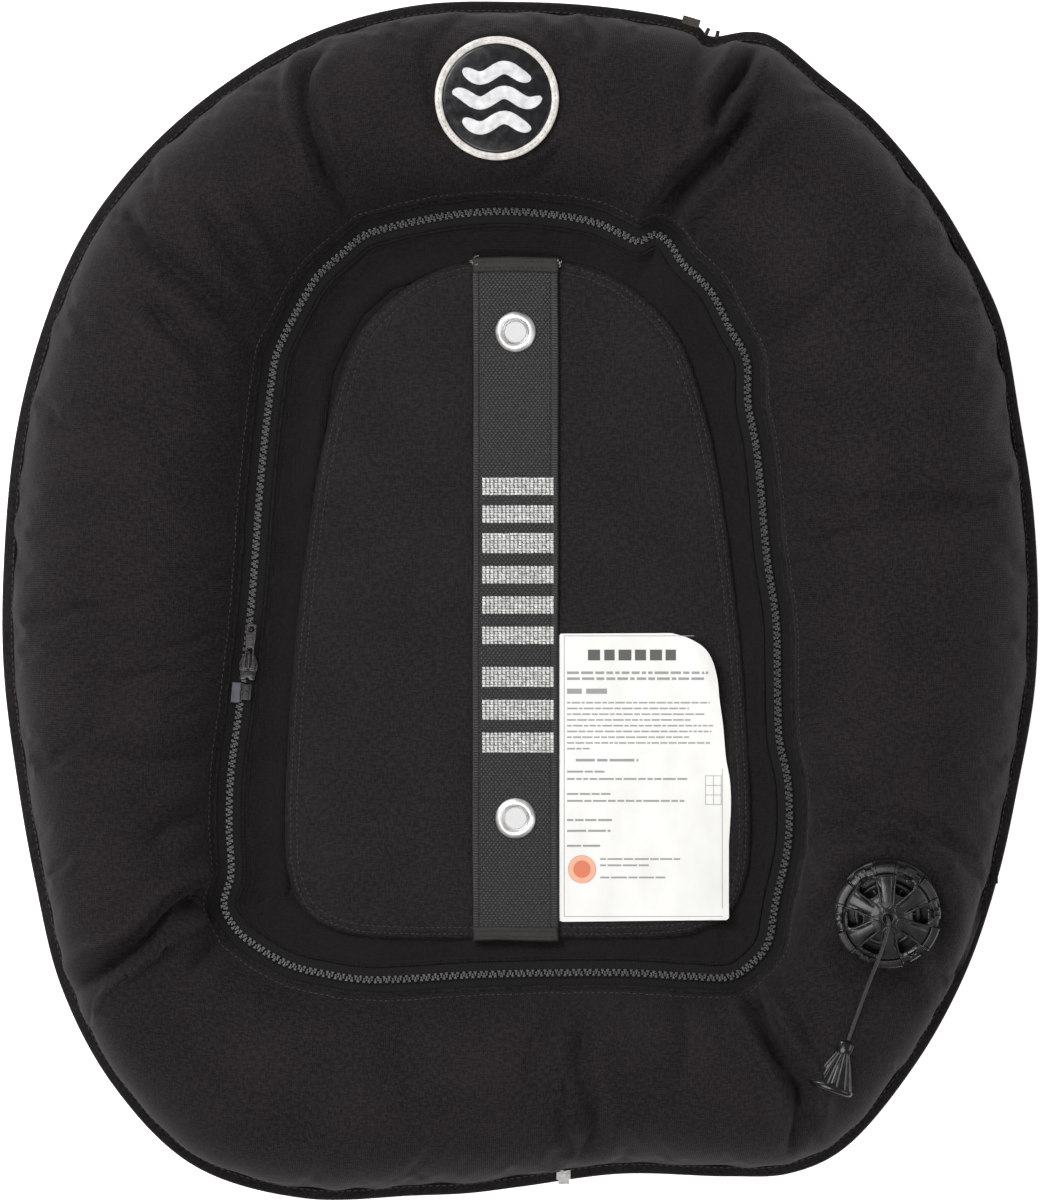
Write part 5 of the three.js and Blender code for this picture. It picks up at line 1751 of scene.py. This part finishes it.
def tiePiece(name, place, low, high, node):
    # cable tie: a flat strap with a small square head
    strap = turned([(13.4, low), (14.7, low), (14.7, high), (13.4, high)], 0.4, 3, 96)
    ridges = turned([(14.4, low + 1.4), (15.0, low + 1.6), (15.0, high - 1.6), (14.4, high - 1.4)], 0.2, 3,
        96)
    head = block(14.2, -2.4, low - 0.4, 17.6, 2.4, high + 0.4, 0.5)
    return makePiece(name, place(joined(strap, ridges, head)), "valve", node)


inflator = {"place": np.array([-90.6, 109.0, hose["height"]]), "turn": -0.1}
inflatorTurn = turnAbout("Z", inflator["turn"]) @ turnAbout("X", math.pi / 2)


def onInflator(shape):
    return moved(shape, inflator["place"], inflatorTurn)


def branch(shape, along, side):
    return moved(shape, (0, 0, along), turnAbout("Y", side * math.pi / 2))


def inflatorPieces():
    # the long straight side is cut into short rows, so the button's well leaves a clean edge
    profile = roundCorners([(0, 0), (10.2, 0), (10.4, 3), (11.1, 4.5), (10.4, 6), (10.4, 12), (13.5, 17),
        (14.5, 30), (14.5, 60), (13.6, 66), (13.6, 82), (14.5, 88), (14.5, 104), (12.6, 111.6),
        (7.6, 111.8), (7.4, 98), (0, 98)], 1.6, 4)
    split = int(np.argmax(profile[:, 1] > 31.6))
    rows = np.column_stack([np.full(40, 14.5), np.linspace(33, 57.4, 40)])
    while profile[split, 1] < 33:
        split += 1
    barrel = lathe(np.concatenate([profile[:split], rows, profile[split:]]), 96)
    points, faces = barrel
    faces = np.asarray(faces)
    middle = points[faces].mean(1)
    well = (middle[:, 0] < -8) & (np.hypot(middle[:, 1], middle[:, 2] - 52) < 8.3)
    barrel = (points, faces[~well])
    grips = [turned([(13.2, z), (14.2, z + 0.4), (14.2, z + 1.4), (13.2, z + 1.8)], 0.4, 3, 80)
        for z in (67.5, 71, 74.5, 78)]
    side = branch(turned([(0, 4), (10.5, 4), (10.5, 22.5), (9.2, 24), (7.5, 24), (7.4, 12), (0, 12)], 1.0,
        4, 72), 52, -1)
    nipple = branch(turned([(0, 4), (6.5, 4), (6.5, 24), (0, 24)], 0.8, 4, 48), 46, 1)
    mouth = branch(turned([(0, 9), (10, 9), (10, 26), (0, 26)], 0.5, 3, 64), 94, 1)
    web = [moved(block(-2.0, -13.9, 30, 2.0, 13.9, 60, 0.6), (0, 0, 0))]
    sharpen(makePiece("inflator_housing", onInflator(joined(barrel, *grips, side, nipple, mouth, *web)),
        "valve", "inflator_body"), 50)
    button = roundCorners([(0, 0), (7, 0), (7, 10.6), (6.2, 11.8), (4.4, 11.5), (0, 11.0)], 0.7, 4)
    rings = [turned([(6.6, z), (7.15, z + 0.2), (7.15, z + 0.6), (6.6, z + 0.8)], 0.15, 2, 64)
        for z in (7.2, 8.6, 10.0)]
    press = joined(lathe(button, 72), *rings)
    makePiece("inflate_button_cap", onInflator(branch(moved(press, (0, 0, 17)), 52, -1)), "cap",
        "inflate_button", body="inflate_button")
    makePiece("deflate_button_cap", onInflator(moved(press, (0, 0, 103.5))), "cap",
        "deflate_button", body="deflate_button")
    quick = roundCorners([(0, 24.3), (4.6, 24.3), (5.4, 25.4), (5.4, 28), (4, 29.2), (4, 31), (5.4, 32),
        (5.4, 33.4), (4.4, 34.4), (4.4, 40.2), (3.6, 41), (2.0, 41), (1.8, 33), (0, 33)], 0.4, 3)
    makePiece("hose_nipple", onInflator(branch(lathe(quick, 64), 46, 1)), "brass", "lp_nipple",
        weld=True)
    lips = roundCorners([(0, 26.3), (10, 26.3), (10, 31), (12.5, 33), (12.5, 36), (14.6, 39.4),
        (14.6, 42.0), (13, 42.4), (9.4, 41), (8.6, 36), (0, 36)], 1.0, 4)
    makePiece("mouthpiece_lips", onInflator(branch(lathe(lips, 80), 94, 1)), "rubber",
        "mouthpiece", weld=True)


def buttonSpring(name, place, low, high, node):
    at = np.linspace(0, 1, 120)
    coil = np.stack([4.6 * np.cos(at * 20), 4.6 * np.sin(at * 20), low + 0.5 + (high - low - 1) * at], 1)
    spring = makePiece(name, place(sweep(coil, 0.42, 8)), "steel", node)
    anchor = np.asarray(place((np.array([[0, 0, low]]), []))[0])[0] * metre
    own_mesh(spring)


elbowPieces()
inflatorPieces()
tiePiece("hose_tie_at_elbow", alongSpigot, 26, 31, "hose_tie_upper")
tiePiece("hose_tie_at_inflator", onInflator, -10, -5, "hose_tie_lower")
buttonSpring("inflate_return_spring", lambda s: onInflator(branch(s, 52, -1)), 12.3, 16.7,
    "inflate_spring")
buttonSpring("deflate_return_spring", onInflator, 98.3, 103.2, "deflate_spring")
print("elbow, hose and inflator made")


# Small tags sewn into the outer seam
def tagPieces():
    white = joined(block(21, -333, 57.0, 29, -327.6, 57.5, 0.12),
        block(22, -335.6, 56.4, 28.2, -332.6, 57.1, 0.15))
    makePiece("seam_tag_white", white, "whiteYarn", "white_tag")
    makePiece("seam_flap", block(270.6, -163, 57, 274.6, -151, 58.0, 0.3), "flap", "edge_flap")


def headTrim():
    # end of a strip and two ribs that stand out of the seam beside the hose
    tilt = turnAbout("Z", math.radians(-17))
    strip = moved(block(-5.2, -3.6, -0.5, 5.2, 1.3, 0.5, 0.2), (98.6, 333.4, 56.4), tilt)
    edge = moved(block(-5.2, 0.5, 0.4, 5.2, 1.2, 0.8, 0.15), (98.6, 333.4, 56.4), tilt)
    makePiece("seam_strip_end", joined(strip, edge), "strip")
    ribs = [moved(block(-1.1, -3.0, -1.2, 1.1, 2.2, 1.2, 0.35), (x, y, 56),
        turnAbout("Z", math.radians(turn))) for x, y, turn in ((107.6, 326.6, -24), (113.4, 325.0, -12))]
    makePiece("seam_rib_ends", joined(*ribs), "rubber")


tagPieces()
headTrim()

# Floor and light
studio = {
    "floor": 24.0, "floorColour": (0.9, 0.9, 0.9), "glow": 0.78, "world": 0.3, "horizon": 1.0,
    "top": {"size": 1.1, "power": 30.0, "place": (-0.9, 1.0, 1.6), "aim": (0, 0, 0.05)},
    "side": {"size": 0.9, "power": 6.0, "place": (1.5, -0.5, 1.4), "aim": (0, 0, 0.05)},
    "gloss": {"size": 0.85, "power": 14.0, "place": (-0.33, -0.7, 1.96), "aim": (0.2, -0.18, 0.1)},
}


def addLight(name, setup):
    data = bpy.data.lights.new(name, "AREA")
    data.shape, data.size, data.energy = "SQUARE", setup["size"], setup["power"]
    lamp = bpy.data.objects.new(name, data)
    lamp.location = setup["place"]
    away = Vector(setup["aim"]) - Vector(setup["place"])
    lamp.rotation_euler = away.to_track_quat("-Z", "Y").to_euler()
    bpy.context.scene.collection.objects.link(lamp)


def addFloor():
    half = studio["floor"] / 2 / metre
    steps = 41
    line = np.linspace(-half, half, steps)
    gx, gy = np.meshgrid(line, line, indexing="ij")
    points = np.stack([gx, gy, np.zeros_like(gx)], -1)
    mesh = bpy.data.meshes.new("studio_floor")
    mesh.from_pydata((points.reshape(-1, 3) * metre).tolist(), [], gridFaces(steps, steps).tolist())
    paint = Paint("floor_paper", studio["floorColour"], 0.85)
    paint.bump(paint.noise("object", 8.0, 3), 0.02, 0.2)
    paint.set("Emission Color", (1.0, 1.0, 1.0, 1.0))
    paint.set("Emission Strength", studio["glow"])
    mesh.materials.append(paint.material)
    floor = bpy.data.objects.new("studio_floor", mesh)
    bpy.context.scene.collection.objects.link(floor)


addFloor()
addLight("soft_top", studio["top"])
addLight("soft_side", studio["side"])
addLight("soft_gloss", studio["gloss"])
world = bpy.data.worlds.new("studio")
world.use_nodes = True
sky = world.node_tree.nodes["Background"]
sky.inputs["Color"].default_value = (1.0, 1.0, 1.0, 1.0)
split = world.node_tree.nodes.new("ShaderNodeSeparateXYZ")
fade = world.node_tree.nodes.new("ShaderNodeMapRange")
for key, number in (("From Min", 0.03), ("From Max", 0.2), ("To Min", studio["horizon"]),
                    ("To Max", studio["world"])):
    fade.inputs[key].default_value = number
around = world.node_tree.nodes.new("ShaderNodeTexCoord").outputs["Generated"]
world.node_tree.links.new(around, split.inputs["Vector"])
world.node_tree.links.new(split.outputs["Z"], fade.inputs["Value"])
world.node_tree.links.new(fade.outputs["Result"], sky.inputs["Strength"])
bpy.context.scene.world = world
bpy.context.scene.view_settings.view_transform = "Standard"
bpy.context.scene.view_settings.look = "None"
